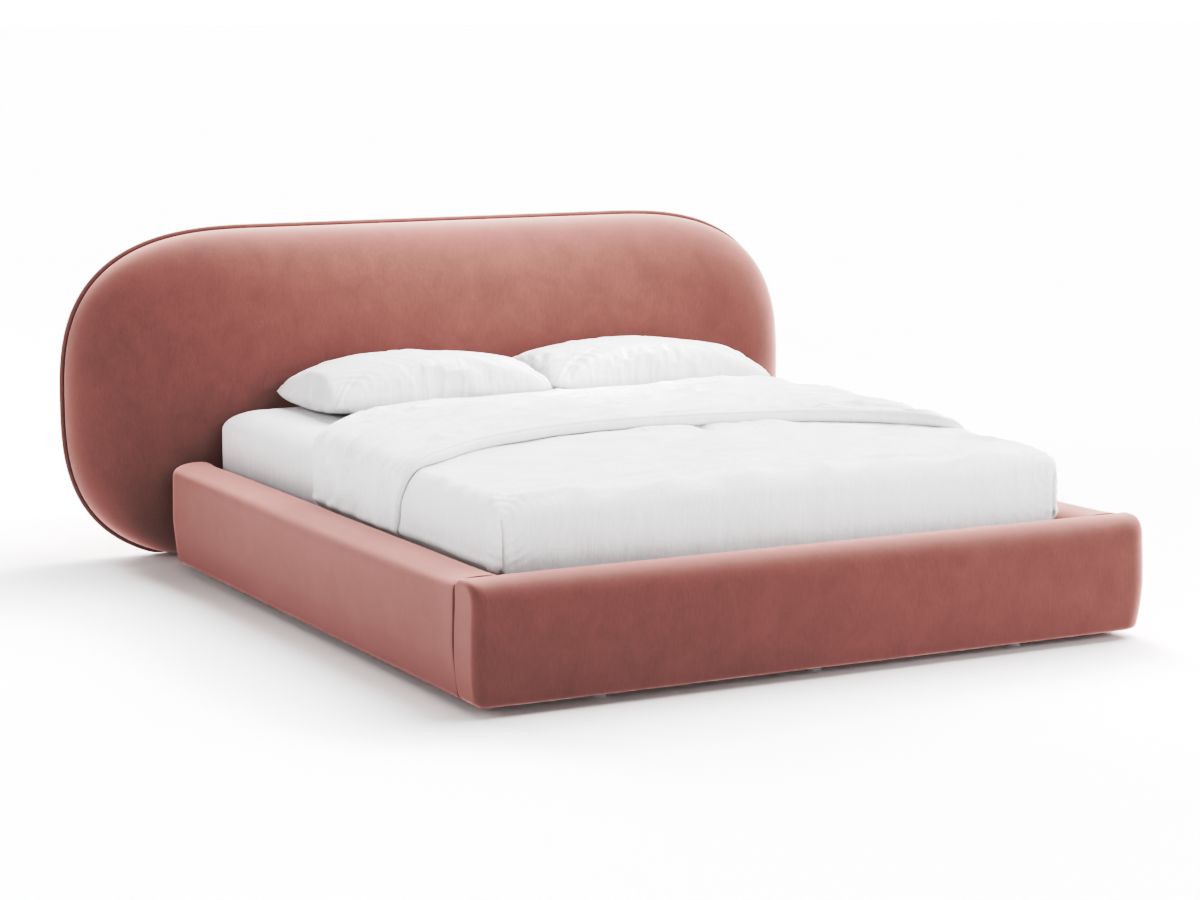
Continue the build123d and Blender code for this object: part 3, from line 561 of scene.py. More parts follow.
def mattress():
    lo, hi = (np.array(v) * 1000.0 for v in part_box("mattress"))
    y0, y1 = lo[1] - FOOT, hi[1] - FOOT
    x, z0, z1 = hi[0], lo[2], hi[2]
    rows = []
    for i in (x, 620.0, 420.0, 240.0, 120.0, 60.0, 34.0):
        rows.append(slab_ring(x, y0, y1, 45.0 + 0.3 * i, i, z0))
    side = [(24.0, 1.5), (14.0, 5.0), (6.5, 11.0), (2.0, 17.0), (0.0, 21.0), (0.0, 25.0), (2.0, 28.5), (7.0, 31.0), (6.5, 36.0)]
    for i, h in side:
        rows.append(slab_ring(x, y0, y1, 45.0, i, z0 + h))
    for s in np.linspace(0, 1, 15)[1:-1]:
        rows.append(slab_ring(x, y0, y1, 45.0 + 25.0 * s, 6.5 - 4.5 * math.sin(PI * s), z0 + 36.0 + (z1 - z0 - 110.0) * s))
    for a in np.linspace(0.0, PI / 2, 14):
        i = 7.0 + 96.0 * (1 - math.cos(a))
        rows.append(slab_ring(x, y0, y1, 70.0 + 0.5 * i, i, z1 - 68.0 + 66.0 * math.sin(a)))
    for i in (130.0, 160.0, 200.0, 250.0, 320.0, 400.0, 480.0, 560.0, 640.0, 720.0, x):
        rows.append(slab_ring(x, y0, y1, 70.0 + 0.5 * i, i, z1 - 2.0))
    g = np.array(rows)
    top = smooth(60.0, 150.0, x - np.abs(g[..., 0])) * smooth(60.0, 150.0, g[..., 1] - y0) * smooth(60.0, 150.0, y1 - g[..., 1])
    tuft = np.cos(g[..., 0] * PI / 130.0) * np.cos((g[..., 1] - y0) * PI / 130.0)
    g[..., 2] -= np.where(g[..., 2] > z1 - 4.0, 1.0, 0.0) * top * (1.2 - 1.2 * tuft)
    obj = put("mattress_pad", g, quads(g.shape[0], g.shape[1]), "mattress_set", TICKING, ("mattress",))


mattress()

SH_X, SH_Y0, SH_Y1, SH_Z = 791.4, 214.6, 2115.4, 455.0


def fitted_sheet():
    def surface(off):
        rows, x, y0, y1 = [], SH_X - off, SH_Y0 + off, SH_Y1 - off
        zt, zb = SH_Z - off, 241.0
        rin, rdn = 92.0 - off * 0.4, 62.0 - off * 0.4
        for s in np.linspace(0, 1, 20):
            rows.append(slab_ring(x, y0, y1, 38.0 - off, 0.0, zb + (zt - rdn - zb) * s))
        for a in np.linspace(0, PI / 2, 15)[1:]:
            i = rin * (1 - math.cos(a))
            rows.append(slab_ring(x, y0, y1, 38.0 - off + 0.5 * i, i, zt - rdn + rdn * math.sin(a)))
        for i in np.r_[rin + (x - rin) * np.linspace(0, 1, 46)[1:] ** 1.15]:
            rows.append(slab_ring(x, y0, y1, 38.0 - off + 0.5 * i, i, zt))
        return np.array(rows)

    out, inn = surface(0.0), surface(2.6)
    n = grid_normals(out)
    s = np.sign((n[..., 2:3][-12:-2].mean())) or 1.0
    n *= s
    x, y, z = out[..., 0], out[..., 1], out[..., 2]
    top = smooth(400.0, 450.0, z)
    d = 0.9 * fbm(x / 140.0, y / 60.0, z / 120.0, 41) * top
    d += 0.6 * noise(x / 34.0, y / 34.0, z / 90.0, 44) * (1 - top) * smooth(245.0, 300.0, z)
    for cx in (-1.0, 1.0):
        for cy in (SH_Y0, SH_Y1):
            dx, dy = x - cx * SH_X, y - cy
            far = np.sqrt(dx * dx + dy * dy + (z - 420.0) ** 2)
            ang = np.arctan2(np.abs(dx) + 1.0, np.abs(dy) + 1.0)
            d += 1.3 * np.sin(ang * 22.0 + 1.0 + cx) * smooth(30.0, 70.0, far) * smooth(230.0, 90.0, far)
    d = np.clip(d - 0.6, -2.2, 1.4)
    out = out + n * d[..., None]
    inn = inn + n * np.minimum(d, 0.4)[..., None] * 0.4
    g = np.concatenate([inn[::-1], out])
    obj = put("fitted_sheet_cloth", g, quads(g.shape[0], g.shape[1]), "mattress_set", SHEET, ("fitted_sheet",))


fitted_sheet()

# -------------------------------------------------------------------- duvet
TOP_Z, SIDE_X, SIDE_R, FOOT_Y, FOOT_R, SKIRT = 475.0, 815.0, 42.0, 200.5, 52.0, 243.0
U_TOP = SIDE_X - SIDE_R
U_ROLL = U_TOP + SIDE_R * PI / 2
U_MAX = U_ROLL + (TOP_Z - SIDE_R) - 247.0

HEM_U = [-1030, -980, -930, -880, -857, -815, -773, -714, -577, -456, -271, -97, 73, 238, 361, 475, 578, 663, 723, 770, 805, 839, 1030]
HEM_V = [752, 748, 741, 733, 714, 676, 692, 728, 843, 912, 980, 1008, 1002, 980, 956, 922, 866, 804, 736, 662, 636, 640, 668]
REAR_U = [-1030, -940, -880, -840, -806, -773, -714, -650, -582, -492, -408, -288, -113, 145, 388, 570, 700, 793, 839, 1030]
REAR_V = [1290, 1312, 1322, 1312, 1318, 1342, 1412, 1492, 1558, 1612, 1640, 1652, 1658, 1658, 1650, 1636, 1612, 1590, 1578, 1500]


def gentle(us, vs):
    """The table of (u, v) as a smooth curve."""
    u = np.linspace(-1040.0, 1040.0, 417)
    v = np.interp(u, us, vs)
    for _ in range(24):
        v[1:-1] = 0.5 * v[1:-1] + 0.25 * (v[:-2] + v[2:])
    return lambda q: np.interp(q, u, v)


hem_line = gentle(HEM_U, HEM_V)
rear_line = gentle(REAR_U, REAR_V)


def skirt_x(z):
    swell = 801.6 + (SIDE_X - 801.6) * smooth(268.0, 345.0, z)
    return swell + 12.0 * np.exp(-((np.asarray(z, float) - 311.0) / 14.0) ** 2)


def skirt_y(z):
    return 204.5 - (204.5 - FOOT_Y) * smooth(262.0, 330.0, z)


def crown(x, y):
    return 4.0 * np.clip(1.0 - (x / 760.0) ** 2, 0.0, 1.0) + 2.0 * np.clip(1.0 - ((y - 650.0) / 420.0) ** 2, 0.0, 1.0)


def along_u(x, z):
    """Distance across the duvet, over the top and down the sides, from its middle."""
    a = np.abs(x)
    ang = np.arctan2(a - U_TOP, np.maximum(z - (TOP_Z - SIDE_R), 1e-6))
    u = np.where(a < U_TOP, a, np.where(z > TOP_Z - SIDE_R, U_TOP + SIDE_R * np.clip(ang, 0, PI / 2), U_ROLL + (TOP_Z - SIDE_R) - z))
    return np.sign(x) * u


def duvet_body():
    near = np.r_[0, 2, 4, 6, 8, 10, 12, 14, 16, 18, 20, 23, 26, 30, 35, 41, 48]
    side_len = 1290.0
    f = np.r_[near, np.linspace(48.0, side_len, 132)[1:]] / side_len
    half = 800.0
    h = np.r_[near, np.linspace(48.0, half, 84)[1:]] / (2 * half)
    foot = np.r_[h, 1.0 - h[::-1][1:]]
    n_arc = 12
    w = np.concatenate([np.zeros(len(f) - 1), smooth(0, 1, np.linspace(0, 1, n_arc)), np.ones(len(foot) - 2),
                        smooth(0, 1, np.linspace(1, 0, n_arc)), np.zeros(len(f) - 1)])

    def line(i_s, i_f, z_row, rc, y_end):
        """One row of the tucked cover: left side, foot, right side."""
        zs, zf = z_row
        xl = skirt_x(zs) - i_s
        yf = skirt_y(zf) + i_f
        rc = min(rc, max(xl, 0.0))
        yl = yf + rc + f * (y_end(-1) - yf - rc)
        yr = yf + rc + f * (y_end(1) - yf - rc)
        a = np.linspace(0, PI / 2, n_arc)
        x = np.concatenate([np.full(len(f) - 1, -xl), -xl + rc * (1 - np.cos(a)), -xl + rc + 2 * (xl - rc) * foot[1:-1],
                            (xl - rc * (1 - np.cos(a)))[::-1], np.full(len(f) - 1, xl)])
        y = np.concatenate([yl[::-1][:-1], yf + rc * (1 - np.sin(a)), np.full(len(foot) - 2, yf),
                            (yf + rc * (1 - np.sin(a)))[::-1], yr[1:]])
        z = zs + (zf - zs) * w
        return np.stack([x, y, z], -1)

    def surface(off, rows_skirt, rows_roll, rows_top, z_low, under):
        rows = []
        rs, rf = SIDE_R - off * 0.5, FOOT_R - off * 0.5
        zt = TOP_Z - under
        zs0, zf0 = zt - rs, zt - rf

        def ends(u):
            return lambda side: float(rear_line(side * u)) - 30.0
        for s in np.linspace(0, 1, rows_skirt):
            zs, zf = z_low + (zs0 - z_low) * s, z_low + (zf0 - z_low) * s
            rows.append(line(off, off, (zs, zf), 18.0, ends(U_ROLL + zs0 - zs)))
        for a in np.linspace(0, PI / 2, rows_roll)[1:]:
            c, s = 1 - math.cos(a), math.sin(a)
            rows.append(line(off + rs * c, off + rf * c, (zs0 + rs * s, zf0 + rf * s), 18.0 + 16.0 * c, ends(U_TOP + SIDE_R * (PI / 2 - a))))
        for s in np.linspace(0, 1, rows_top)[1:]:
            i_s = off + rs + (SIDE_X - off - rs) * s
            i_f = off + rf + (SIDE_X - off - rf) * s
            rows.append(line(i_s, i_f, (zt, zt), 34.0 + 0.55 * (i_s - off - rs), ends(max(SIDE_X - i_s, 0.0))))
        return np.array(rows)

    out = surface(0.0, 30, 18, 82, SKIRT, 0.0)
    x, y, z = out[..., 0].copy(), out[..., 1].copy(), out[..., 2].copy()
    top = smooth(TOP_Z - 30.0, TOP_Z - 2.0, z)
    out[..., 2] += top * crown(x, y)
    n = grid_normals(out)
    if n[-20:-4, :, 2].mean() < 0:
        n = -n
    u = along_u(x, z)
    free = hem_line(u) - y

    d = np.zeros_like(x)
    # soft filling and long lazy creases
    d += 2.6 * fbm(x / 300.0, y / 190.0, z / 160.0, 61)
    warp = 0.5 * noise(x / 170.0, y / 130.0, 0, 3)
    tilted = y - 0.22 * x
    calm = smooth(-20.0, 110.0, free)
    d += calm * top * 4.4 * (1.0 - 3.0 * np.abs(noise(x / 230.0 + warp, tilted / 70.0 + warp, 0.0, 67)))
    d += calm * top * 1.5 * (1.0 - 3.0 * np.abs(noise(x / 130.0 - warp, tilted / 36.0 + warp, 0.0, 69)))
    d += top * 1.3 * fbm(x / 95.0 + warp, y / 34.0, 0.0, 68)
    d += (1 - top) * smooth(SKIRT, 330.0, z) * (0.9 * fbm(x / 75.0, y / 75.0, z / 150.0, 71) + 1.3 * (1.0 - 3.0 * np.abs(noise(x / 60.0, y / 60.0, z / 190.0 + warp, 72))))
    for lx, half, high, ahead in ((70.0, 92.0, 10.0, 22.0), (318.0, 112.0, 14.0, 16.0), (-190.0, 120.0, 5.0, 20.0)):
        d += top * high * np.exp(-np.abs((x - lx) / half) ** 4 - ((free - ahead) / 26.0) ** 2)
    d -= top * 13.0 * np.exp(-((x - 184.0) / 17.0) ** 2) * smooth(-40.0, -5.0, free) * smooth(75.0, 15.0, free)
    for cx in (-1.0, 1.0):
        sx, sz = cx * 799.5, 424.0
        px = cx * (x - sx) * -1.0
        dist = np.sqrt((x - sx) ** 2 * 0.8 + (y - FOOT_Y) ** 2 + (z - sz) ** 2)
        ring = np.sin((dist - 8.0) * 2 * PI / 23.0 + 0.9 * noise(x / 40.0, y / 40.0, z / 40.0, 5))
        d += (2.3 if cx < 0 else 1.4) * ring * smooth(14.0, 34.0, dist) * smooth(240.0, 60.0, dist) * (0.7 + 0.3 * top)
        face = (np.abs(y - FOOT_Y) < 30.0) * smooth(428.0, 404.0, z)
        wob = px - 1.6 * np.sin(z / 26.0)
        deep = 26.0 if cx < 0 else 9.0
        band = np.where(wob < 0, (6.5 if cx < 0 else 3.0) * smooth(-44.0, -10.0, wob), -deep * np.exp(-(wob / 3.6) ** 2) + 2.0 * np.exp(-((wob - 16.0) / 9.0) ** 2))
        d += band * face * (px < 60.0)
        d += -3.0 * np.exp(-((wob + 10.0) / 2.6) ** 2) * face * smooth(340.0, 310.0, z)
    # the body swells just in front of the turned-back edge on the sides
    side = smooth(U_TOP - 10.0, U_ROLL - 10.0, np.abs(u))
    q = np.clip(free / 16.0, 0.0, 1.0)
    d += side * smooth(285.0, 330.0, z) * np.where(free > 0, 9.0 * np.sqrt(q * (2 - q)) * np.exp(-np.maximum(free, 0.0) / 190.0), -1.0)
    squeeze = smooth(258.0, 320.0, z)
    d = np.where(z < 330.0, d * (0.12 + 0.88 * squeeze), d)
    out = out + n * d[..., None]
    out[-1, :, 0] = 0.0

    inn = surface(7.6, 9, 7, 13, SKIRT + 2.0, 15.5)
    inn[..., 0] = np.clip(inn[..., 0], -808.0, 808.0)
    skirt_in = inn[..., 2] < 420.0
    edge = np.abs(inn[..., 0]) > 780.0
    inn[..., 0] = np.where(skirt_in & edge, np.sign(inn[..., 0]) * np.maximum(np.abs(inn[..., 0]) - 0.6, 793.2), inn[..., 0])

    ro, ri, c = out.shape[0], inn.shape[0], out.shape[1]
    faces = quads(ro, c, 0, False) + quads(ri, c, ro * c, False)
    idx_o = np.arange(ro * c).reshape(ro, c)
    idx_i = ro * c + np.arange(ri * c).reshape(ri, c)
    faces += [(idx_o[0, k], idx_o[0, k + 1], idx_i[0, k + 1], idx_i[0, k]) for k in range(c - 1)]
    for col in (0, c - 1):
        faces += zipper(list(idx_o[:, col]), list(idx_i[:, col]))
    return np.concatenate([out.reshape(-1, 3), inn.reshape(-1, 3)]), faces


def duvet_fold():
    u = np.concatenate([np.linspace(-U_MAX, -U_TOP, 44), np.linspace(-U_TOP, U_TOP, 170)[1:-1], np.linspace(U_TOP, U_MAX, 44)])
    a, sg = np.abs(u), np.sign(u)
    ang = np.clip((a - U_TOP) / SIDE_R, 0, PI / 2)
    zs = np.where(a > U_ROLL, TOP_Z - SIDE_R - (a - U_ROLL), TOP_Z - SIDE_R + SIDE_R * np.cos(ang))
    xs = np.where(a > U_ROLL, skirt_x(zs), np.where(a > U_TOP, U_TOP + SIDE_R * np.sin(ang), a))
    nx = np.where(a > U_TOP, np.sin(ang), 0.0)
    nz = np.where(a > U_TOP, np.cos(ang), 1.0)
    hem, rear = hem_line(u), rear_line(u)
    on_top = smooth(U_ROLL + 10.0, U_TOP - 60.0, a)
    left = smooth(-200.0, -700.0, u)
    right = smooth(250.0, 740.0, u)
    tuck = smooth(262.0, 345.0, zs)
    nose = (19.0 * on_top + 10.0 * (1 - on_top)) * tuck + 0.5 * (1 - tuck)
    t_mid = (38.0 * on_top + 13.0 * (1 - on_top)) * tuck + 0.8 * (1 - tuck)
    t_mid = t_mid + right * 13.0 * smooth(U_ROLL + 60.0, U_TOP, a) * tuck
    t_rear = (32.0 * on_top + 9.0 * (1 - on_top)) * tuck + 1.0 * (1 - tuck)
    t_rear = t_rear - left * 3.0 * on_top + right * 16.0 * smooth(U_ROLL + 60.0, U_TOP, a) * tuck
    low_rear = -14.5 * on_top - 5.0 * (1 - on_top)

    rows_v, rows_t, kind = [], [], []
    for k in np.linspace(-0.94, 1.0, 31):
        b = k * PI / 2
        pinch = 1.0 - 0.20 * math.exp(-((b - 0.62) / 0.15) ** 2) * (0.15 + 0.85 * tuck)
        rows_v.append(hem + nose * (1 - pinch * np.cos(b)))
        rows_t.append(nose * (1 + pinch * np.sin(b)))
        kind.append(0.0)
    r_rear = (t_rear - low_rear) / 2
    s0, s1 = hem + nose, rear - r_rear
    close = np.r_[np.arange(1.5, 46.0, 2.2), 52.0, 60.0]
    span = s1 - s0
    gaps = [np.full_like(span, c) for c in close] + [60.0 + (span - 60.0) * k for k in np.linspace(0, 1, 84)[1:-1]]
    for gap in gaps:
        v = s0 + gap
        t = 2 * nose + (t_mid - 2 * nose) * smooth(0.0, 150.0, gap) + (t_rear - t_mid) * smooth(0.35, 1.0, gap / span)
        t = t - 3.0 * np.exp(-((gap - 26.0) / 6.0) ** 2) * (0.1 + 0.9 * tuck)
        rows_v.append(v)
        rows_t.append(t)
        kind.append(1.0)
    for b in np.linspace(PI / 2, -PI / 2, 16):
        rows_v.append(s1 + r_rear * math.cos(b))
        rows_t.append((t_rear + low_rear) / 2 + r_rear * math.sin(b))
        kind.append(0.5)
    for s in np.linspace(0, 1, 22)[1:]:
        v = s1 + (hem + nose * 0.9 - s1) * s
        rows_v.append(v)
        rows_t.append(low_rear + (-2.5 - low_rear) * smooth(0.02, 0.12, s))
        kind.append(0.0)
    v, t, kind = np.array(rows_v), np.array(rows_t), np.array(kind)[:, None]
    uu = np.broadcast_to(u, v.shape)
    zz = np.broadcast_to(zs, v.shape)
    bend = 0.5 * noise(uu / 190.0, v / 150.0, 0, 8)
    along = v - 0.75 * hem
    slant = along - 0.16 * uu
    puff = 4.5 * fbm(uu / 250.0, v / 200.0, 0.0, 81) + 5.6 * (1.0 - 3.0 * np.abs(noise(uu / 230.0 + bend, slant / 66.0 + bend, 0.0, 85))) + 2.4 * (1.0 - 3.0 * np.abs(noise(uu / 120.0 - bend, slant / 34.0 + bend, 0.0, 87))) + 1.6 * fbm(uu / 90.0 + bend, slant / 38.0, 0.0, 86)
    inner = smooth(2.0, 60.0, v - hem) * smooth(-6.0, 50.0, rear - v)
    puff = puff * kind * (0.25 + 0.75 * inner)
    # drag lines on the side that hangs down
    drop = smooth(U_TOP + 10.0, U_ROLL + 20.0, -uu)
    line = ((v - 1180.0) * 0.45 + (zz - 360.0) * 0.9 + 14.0 * noise(uu / 60.0, v / 60.0, 0.0, 4))
    puff = puff + kind * drop * 4.0 * np.sin(line * 2 * PI / 52.0) * smooth(930.0, 1060.0, v) * smooth(1350.0, 1240.0, v)
    tk = np.broadcast_to(tuck, v.shape)
    t = t + puff * (0.06 + 0.94 * tk) * np.where(kind > 0, 1.0, 0.0)
    limit = 400.0 * tk + 1.2 * (1 - tk)
    t = np.minimum(t, limit)
    base = crown(np.abs(uu), v) * np.where(np.abs(uu) < U_TOP, 1.0, 0.0)
    x = np.broadcast_to(sg * xs, v.shape) + np.broadcast_to(sg * nx, v.shape) * t
    z = np.broadcast_to(zs, v.shape) + np.broadcast_to(nz, v.shape) * t + base
    g = np.stack([x, v, z], -1)
    g = np.transpose(g, (1, 0, 2))
    r, c = g.shape[:2]
    ends = []
    for ring in (g[0], g[-1]):
        centre = ring.mean(0)
        ends.append(np.array([centre + (ring - centre) * k for k in (0.0, 0.5)]))
    g = np.concatenate([ends[0], g, ends[1][::-1]])
    return g.reshape(-1, 3), quads(g.shape[0], c)


def duvet():
    va, fa = duvet_body()
    vb, fb = duvet_fold()
    faces = [tuple(f) for f in fa] + [tuple(i + len(va) for i in f) for f in fb]
    obj = put("duvet_cover", np.concatenate([va, vb]), faces, "duvet_body", DUVET, ("duvet",))


duvet()


# ------------------------------------------------------------------ pillows
def filled_case(half, seed):
    """Two flat panels sewn together round the rim and filled by a cloth simulation: upper and lower grid."""
    nx, ny = 84, 56
    a, b = np.meshgrid(np.linspace(-1, 1, nx + 1), np.linspace(-1, 1, ny + 1), indexing="ij")
    rim = np.maximum(np.abs(a), np.abs(b)) / np.maximum((np.abs(a) ** 16 + np.abs(b) ** 16) ** (1 / 16), 1e-9)
    x, y = a * rim * half[0], b * rim * half[1]
    z = 0.012 * np.sqrt((1 - a ** 2) * (1 - b ** 2)) + 0.002 * noise(x * 14.0, y * 14.0, 0.3, seed) * (1 - a ** 8) * (1 - b ** 8)
    n = (nx + 1) * (ny + 1)
    idx = np.arange(n).reshape(nx + 1, ny + 1)
    under, inner = idx.copy(), np.zeros_like(idx, bool)
    inner[1:-1, 1:-1] = True
    under[inner] = n + np.arange(inner.sum())
    p = np.concatenate([np.stack([x, y, z], -1).reshape(-1, 3), np.stack([x, y, -z], -1).reshape(-1, 3)[inner.reshape(-1)]])
    faces = np.stack([idx[:-1, :-1], idx[1:, :-1], idx[1:, 1:], idx[:-1, 1:]], -1).reshape(-1, 4).tolist()
    faces += np.stack([under[:-1, :-1], under[:-1, 1:], under[1:, 1:], under[1:, :-1]], -1).reshape(-1, 4).tolist()
    mesh = bpy.data.meshes.new("filling")
    mesh.from_pydata(p.tolist(), [], faces)
    obj = bpy.data.objects.new("filling", mesh)
    SCENE.collection.objects.link(obj)
    mod = obj.modifiers.new("filling", "CLOTH")
    cloth = mod.settings
    cloth.quality = 6
    cloth.mass = 0.3
    cloth.tension_stiffness = cloth.compression_stiffness = 25.0
    cloth.shear_stiffness = 10.0
    cloth.bending_stiffness = 0.02
    cloth.air_damping = 2.0
    cloth.use_pressure = True
    cloth.uniform_pressure_force = 2.0
    cloth.effector_weights.gravity = 0.0
    mod.collision_settings.use_collision = False
    mod.point_cache.frame_start, mod.point_cache.frame_end = 1, 30
    for step in range(1, 31):
        SCENE.frame_set(step)
    done = obj.evaluated_get(bpy.context.evaluated_depsgraph_get())
    co = np.empty(len(p) * 3)
    done.data.vertices.foreach_get("co", co)
    co = co.reshape(-1, 3) * 1000.0
    SCENE.frame_set(1)
    bpy.data.objects.remove(obj)
    bpy.data.meshes.remove(mesh)
    return co[idx], co[under]


def finer(g):
    """The grid with a point added between each two, on a smooth curve."""
    for _ in range(2):
        e = np.concatenate([2 * g[:1] - g[1:2], g, 2 * g[-1:] - g[-2:-1]])
        mid = (9 * (e[1:-2] + e[2:-1]) - e[:-3] - e[3:]) / 16.0
        r = np.empty((2 * len(g) - 1,) + g.shape[1:])
        r[0::2], r[1::2] = g, mid
        g = np.swapaxes(r, 0, 1)
    return g


def pillow(name, node, body, corners, high, low, mirror, seed):
    """A filled case with its corners front left, front right, rear left, rear right; it rests on the sheet."""
    up, dn = filled_case((0.37, 0.25), seed)
    if mirror:
        up, dn = (np.concatenate([-g[::-1, :, :1], g[::-1, :, 1:]], -1) for g in (up, dn))
    up, dn = finer(up), finer(dn)
    fl, fr, rl, rr = (np.array(c) for c in corners)
    ax, ay = (up[-1, -1, 0] - up[0, 0, 0]) / 2, (up[-1, -1, 1] - up[0, 0, 1]) / 2
    peak = np.sort(up[..., 2].reshape(-1))[-400:].mean()

    def lay(g, tall):
        a, b = (g[..., :1] / ax + 1) / 2, (g[..., 1:2] / ay + 1) / 2
        q = fl * (1 - a) * (1 - b) + fr * a * (1 - b) + rl * (1 - a) * b + rr * a * b
        rise = g[..., 2] / peak
        q[..., 2] += np.sign(rise) * np.abs(rise) ** 0.56 * tall
        return q

    # gathers drawn in from the seams, and ripples round the front left corner
    x, y = up[..., 0], up[..., 1]
    k = np.linspace(-1, 1, up.shape[0])[:, None], np.linspace(-1, 1, up.shape[1])[None, :]
    to_end, to_side = ax * (1 - np.abs(k[0])), ay * (1 - np.abs(k[1]))
    gather = 9.0 * noise(x / 24.0 + y / 130.0, y / 140.0, seed * 2.3, seed + 2) * np.exp(-to_side / 85.0)
    gather = gather + 9.0 * noise(y / 24.0 + x / 150.0, x / 150.0, seed * 1.7, seed + 1) * np.exp(-to_end / 95.0)
    far = np.hypot(x - up[0, 0, 0], y - up[0, 0, 1])
    gather = gather + 4.2 * np.sin(far * 2 * PI / 36.0 + 1.1 * noise(x / 60.0, y / 60.0, 0.0, seed + 3)) * np.exp(-((far - 90.0) / 55.0) ** 2)
    hold = np.clip(up[..., 2] / peak * 1.6, 0.0, 1.0)
    up, dn = lay(up, high), lay(dn, low)
    up[..., 2] += gather * hold
    # the seam stands out a little all round
    for g in (up, dn):
        g[0, :, 0] -= 6.0
        g[-1, :, 0] += 6.0
        g[:, 0, 1] -= 6.0
        g[:, -1, 1] += 4.0
    up[1:-1, 1:-1, 2] += 1.2
    dn[1:-1, 1:-1, 2] -= 1.2
    r, c = up.shape[:2]
    n = r * c
    idx = np.arange(n).reshape(r, c)
    under, inner = idx.copy(), np.zeros_like(idx, bool)
    inner[1:-1, 1:-1] = True
    under[inner] = n + np.arange(inner.sum())
    q = np.concatenate([up.reshape(-1, 3), dn.reshape(-1, 3)[inner.reshape(-1)]])
    faces = np.stack([idx[:-1, :-1], idx[1:, :-1], idx[1:, 1:], idx[:-1, 1:]], -1).reshape(-1, 4).tolist()
    faces += np.stack([under[:-1, :-1], under[:-1, 1:], under[1:, 1:], under[1:, :-1]], -1).reshape(-1, 4).tolist()
    low_z = 457.0
    q[:, 2] = np.where(q[:, 2] < low_z + 8.0, low_z + 8.0 * np.exp((q[:, 2] - low_z - 8.0) / 8.0), q[:, 2])
    obj = put(name, q, faces, body, PILLOW_COTTON_SHADED, (node,))
    return obj


pillow("pillow_left_case", "pillow_left", "pillow_left_body",
       ((-602.0, 1646.0, 508.0), (74.0, 1674.0, 515.0), (-610.0, 2086.0, 494.0), (74.0, 2092.0, 506.0)), 108.0, 60.0, False, 3)
pillow("pillow_right_case", "pillow_right", "pillow_right_body",
       ((99.0, 1674.0, 517.0), (800.0, 1654.0, 500.0), (98.0, 2094.0, 504.0), (806.0, 2090.0, 498.0)), 111.0, 60.0, True, 8)


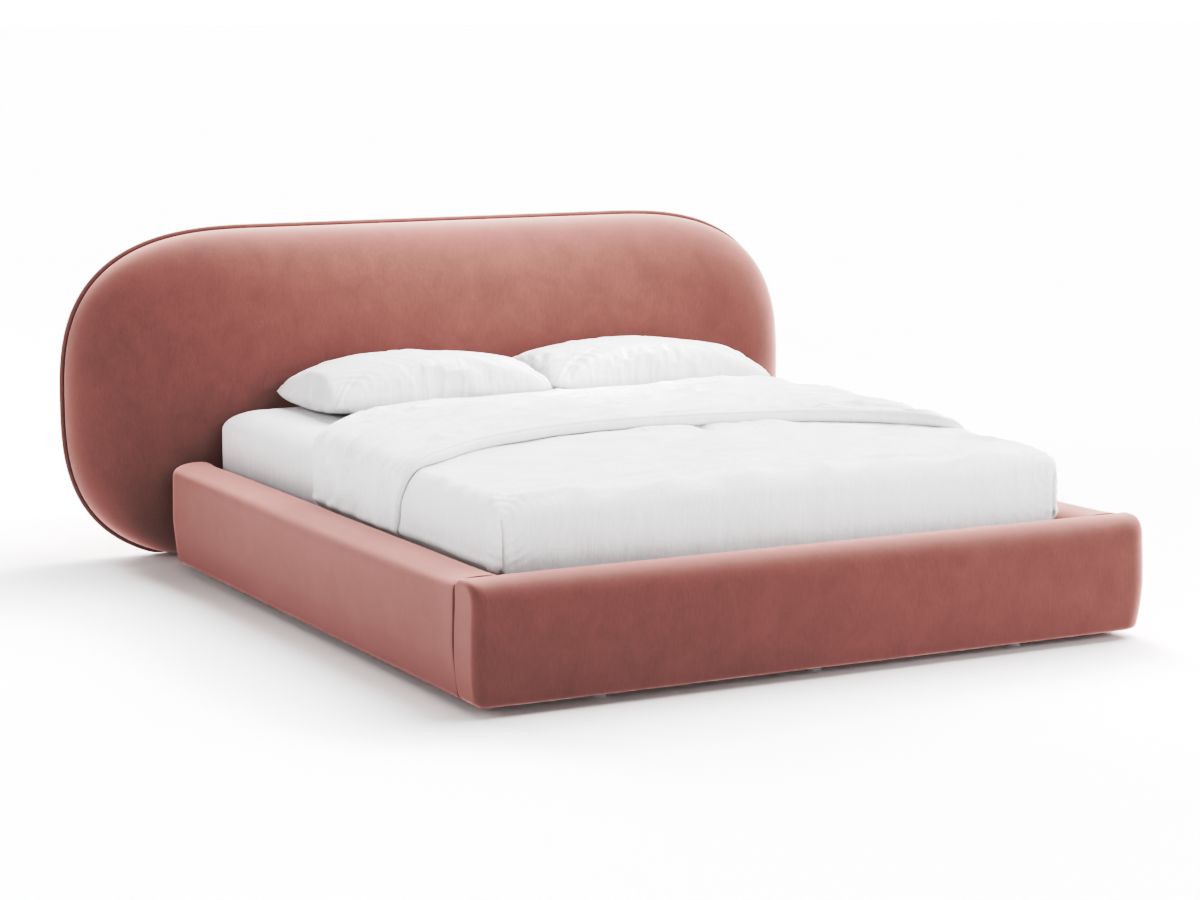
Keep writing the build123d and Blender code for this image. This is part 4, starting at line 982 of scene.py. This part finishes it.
# ----------------------------------------------------- floor, light, camera
def studio():
    m, t, b = material("studio_floor")
    t.links.new(ramp(t, grain(t, (0.7, 0.7, 0.7), 2.0), [(0.3, grey(0.945)), (0.7, grey(0.955))]), b.inputs["Base Color"])
    b.inputs["Roughness"].default_value = 1.0
    b.inputs["Specular IOR Level"].default_value = 0.0
    mesh = bpy.data.meshes.new("studio_floor")
    s = 220.0
    mesh.from_pydata([(-s, -s, 0), (s, -s, 0), (s, s, 0), (-s, s, 0)], [], [(0, 1, 2, 3)])
    floor = bpy.data.objects.new("studio_floor", mesh)
    SCENE.collection.objects.link(floor)
    mesh.materials.append(m)

    world = SCENE.world or bpy.data.worlds.new("studio")
    SCENE.world = world
    world.use_nodes = True
    w = world.node_tree
    back = w.nodes["Background"]
    back.inputs["Strength"].default_value = 1.0
    ray = w.nodes.new("ShaderNodeTexCoord")
    part = w.nodes.new("ShaderNodeSeparateXYZ")
    w.links.new(ray.outputs["Generated"], part.inputs["Vector"])
    w.links.new(ramp(w, part.outputs["Z"], [(0.0, grey(1.9)), (0.003, grey(1.9)), (0.012, grey(0.62)), (0.095, grey(0.62)), (0.13, grey(0.062)), (1.0, grey(0.062))]), back.inputs["Color"])

    # soft boxes: strength, spread and tilt in degrees
    for name, strength, spread, tilt in (
            ("soft_key", 2.42, 50.0, (0.0, 38.0, 0.0)),
            ("soft_side", 0.87, 36.0, (0.0, -68.0, 0.0)),
            ("soft_rim", 0.96, 36.0, (-64.0, 0.0, 0.0)),
            ("soft_back", 0.62, 45.0, (-45.0, 0.0, 0.0)),
            ("soft_front", 0.77, 40.0, (75.0, 0.0, 0.0)),
            ("soft_corner", 1.84, 45.0, (-40.0, 0.0, -50.0))):
        sun = bpy.data.lights.new(name, "SUN")
        sun.energy = strength
        sun.angle = math.radians(spread)
        lamp = bpy.data.objects.new(name, sun)
        lamp.rotation_euler = tuple(math.radians(a) for a in tilt)
        SCENE.collection.objects.link(lamp)

    for name, watts, cone, place, target in (
            ("soft_spot", 740.0, 36.0, (1.6, -2.6, 2.5), (0.30, 1.1, 1.17)),
            ("soft_high", 275.0, 40.0, (0.6, -0.9, 3.3), (0.0, 1.12, 1.17)),
            ("soft_left", 160.0, 14.0, (-3.6, -4.5, 1.6), (-1.04, 1.12, 0.42)),
            ("soft_foot", 155.0, 50.0, (2.2, -3.7, 1.2), (0.85, -1.15, 0.3))):
        fill = bpy.data.lights.new(name, "SPOT")
        fill.energy = watts
        fill.spot_size = math.radians(cone)
        fill.spot_blend = 1.0
        fill.shadow_soft_size = 0.5
        box = bpy.data.objects.new(name, fill)
        box.location = place
        box.rotation_euler = (Vector(target) - Vector(place)).to_track_quat("-Z", "Y").to_euler()
        SCENE.collection.objects.link(box)

    SCENE.view_settings.view_transform = "Standard"
    SCENE.view_settings.look = "None"
    SCENE.view_settings.use_curve_mapping = True
    tone = SCENE.view_settings.curve_mapping
    white = 1.55
    tone.white_level = (white, white, white)
    tone.extend = "HORIZONTAL"
    curve = tone.curves[3]
    for a, b in ((0.05, 0.046), (0.10, 0.106), (0.15, 0.205), (0.20, 0.313), (0.25, 0.39), (0.30, 0.458), (0.375, 0.555), (0.45, 0.630),
                 (0.55, 0.693), (0.65, 0.735), (0.775, 0.773), (0.90, 0.805), (1.05, 0.842), (1.20, 0.880), (1.32, 0.915), (1.41, 0.955), (1.49, 0.990)):
        curve.points.new(a / white, b)
    tone.update()

    cam = bpy.data.cameras.new("camera")
    cam.sensor_fit = "HORIZONTAL"
    cam.sensor_width = 36.0
    cam.lens = 87.645
    cam.clip_end = 1000.0
    eye = bpy.data.objects.new("camera", cam)
    eye.location = (-3.741, -7.0493, 1.620)
    eye.rotation_euler = (math.radians(90.0 - 8.6665), 0.0, math.radians(-27.7495))
    SCENE.collection.objects.link(eye)
    SCENE.camera = eye


studio()
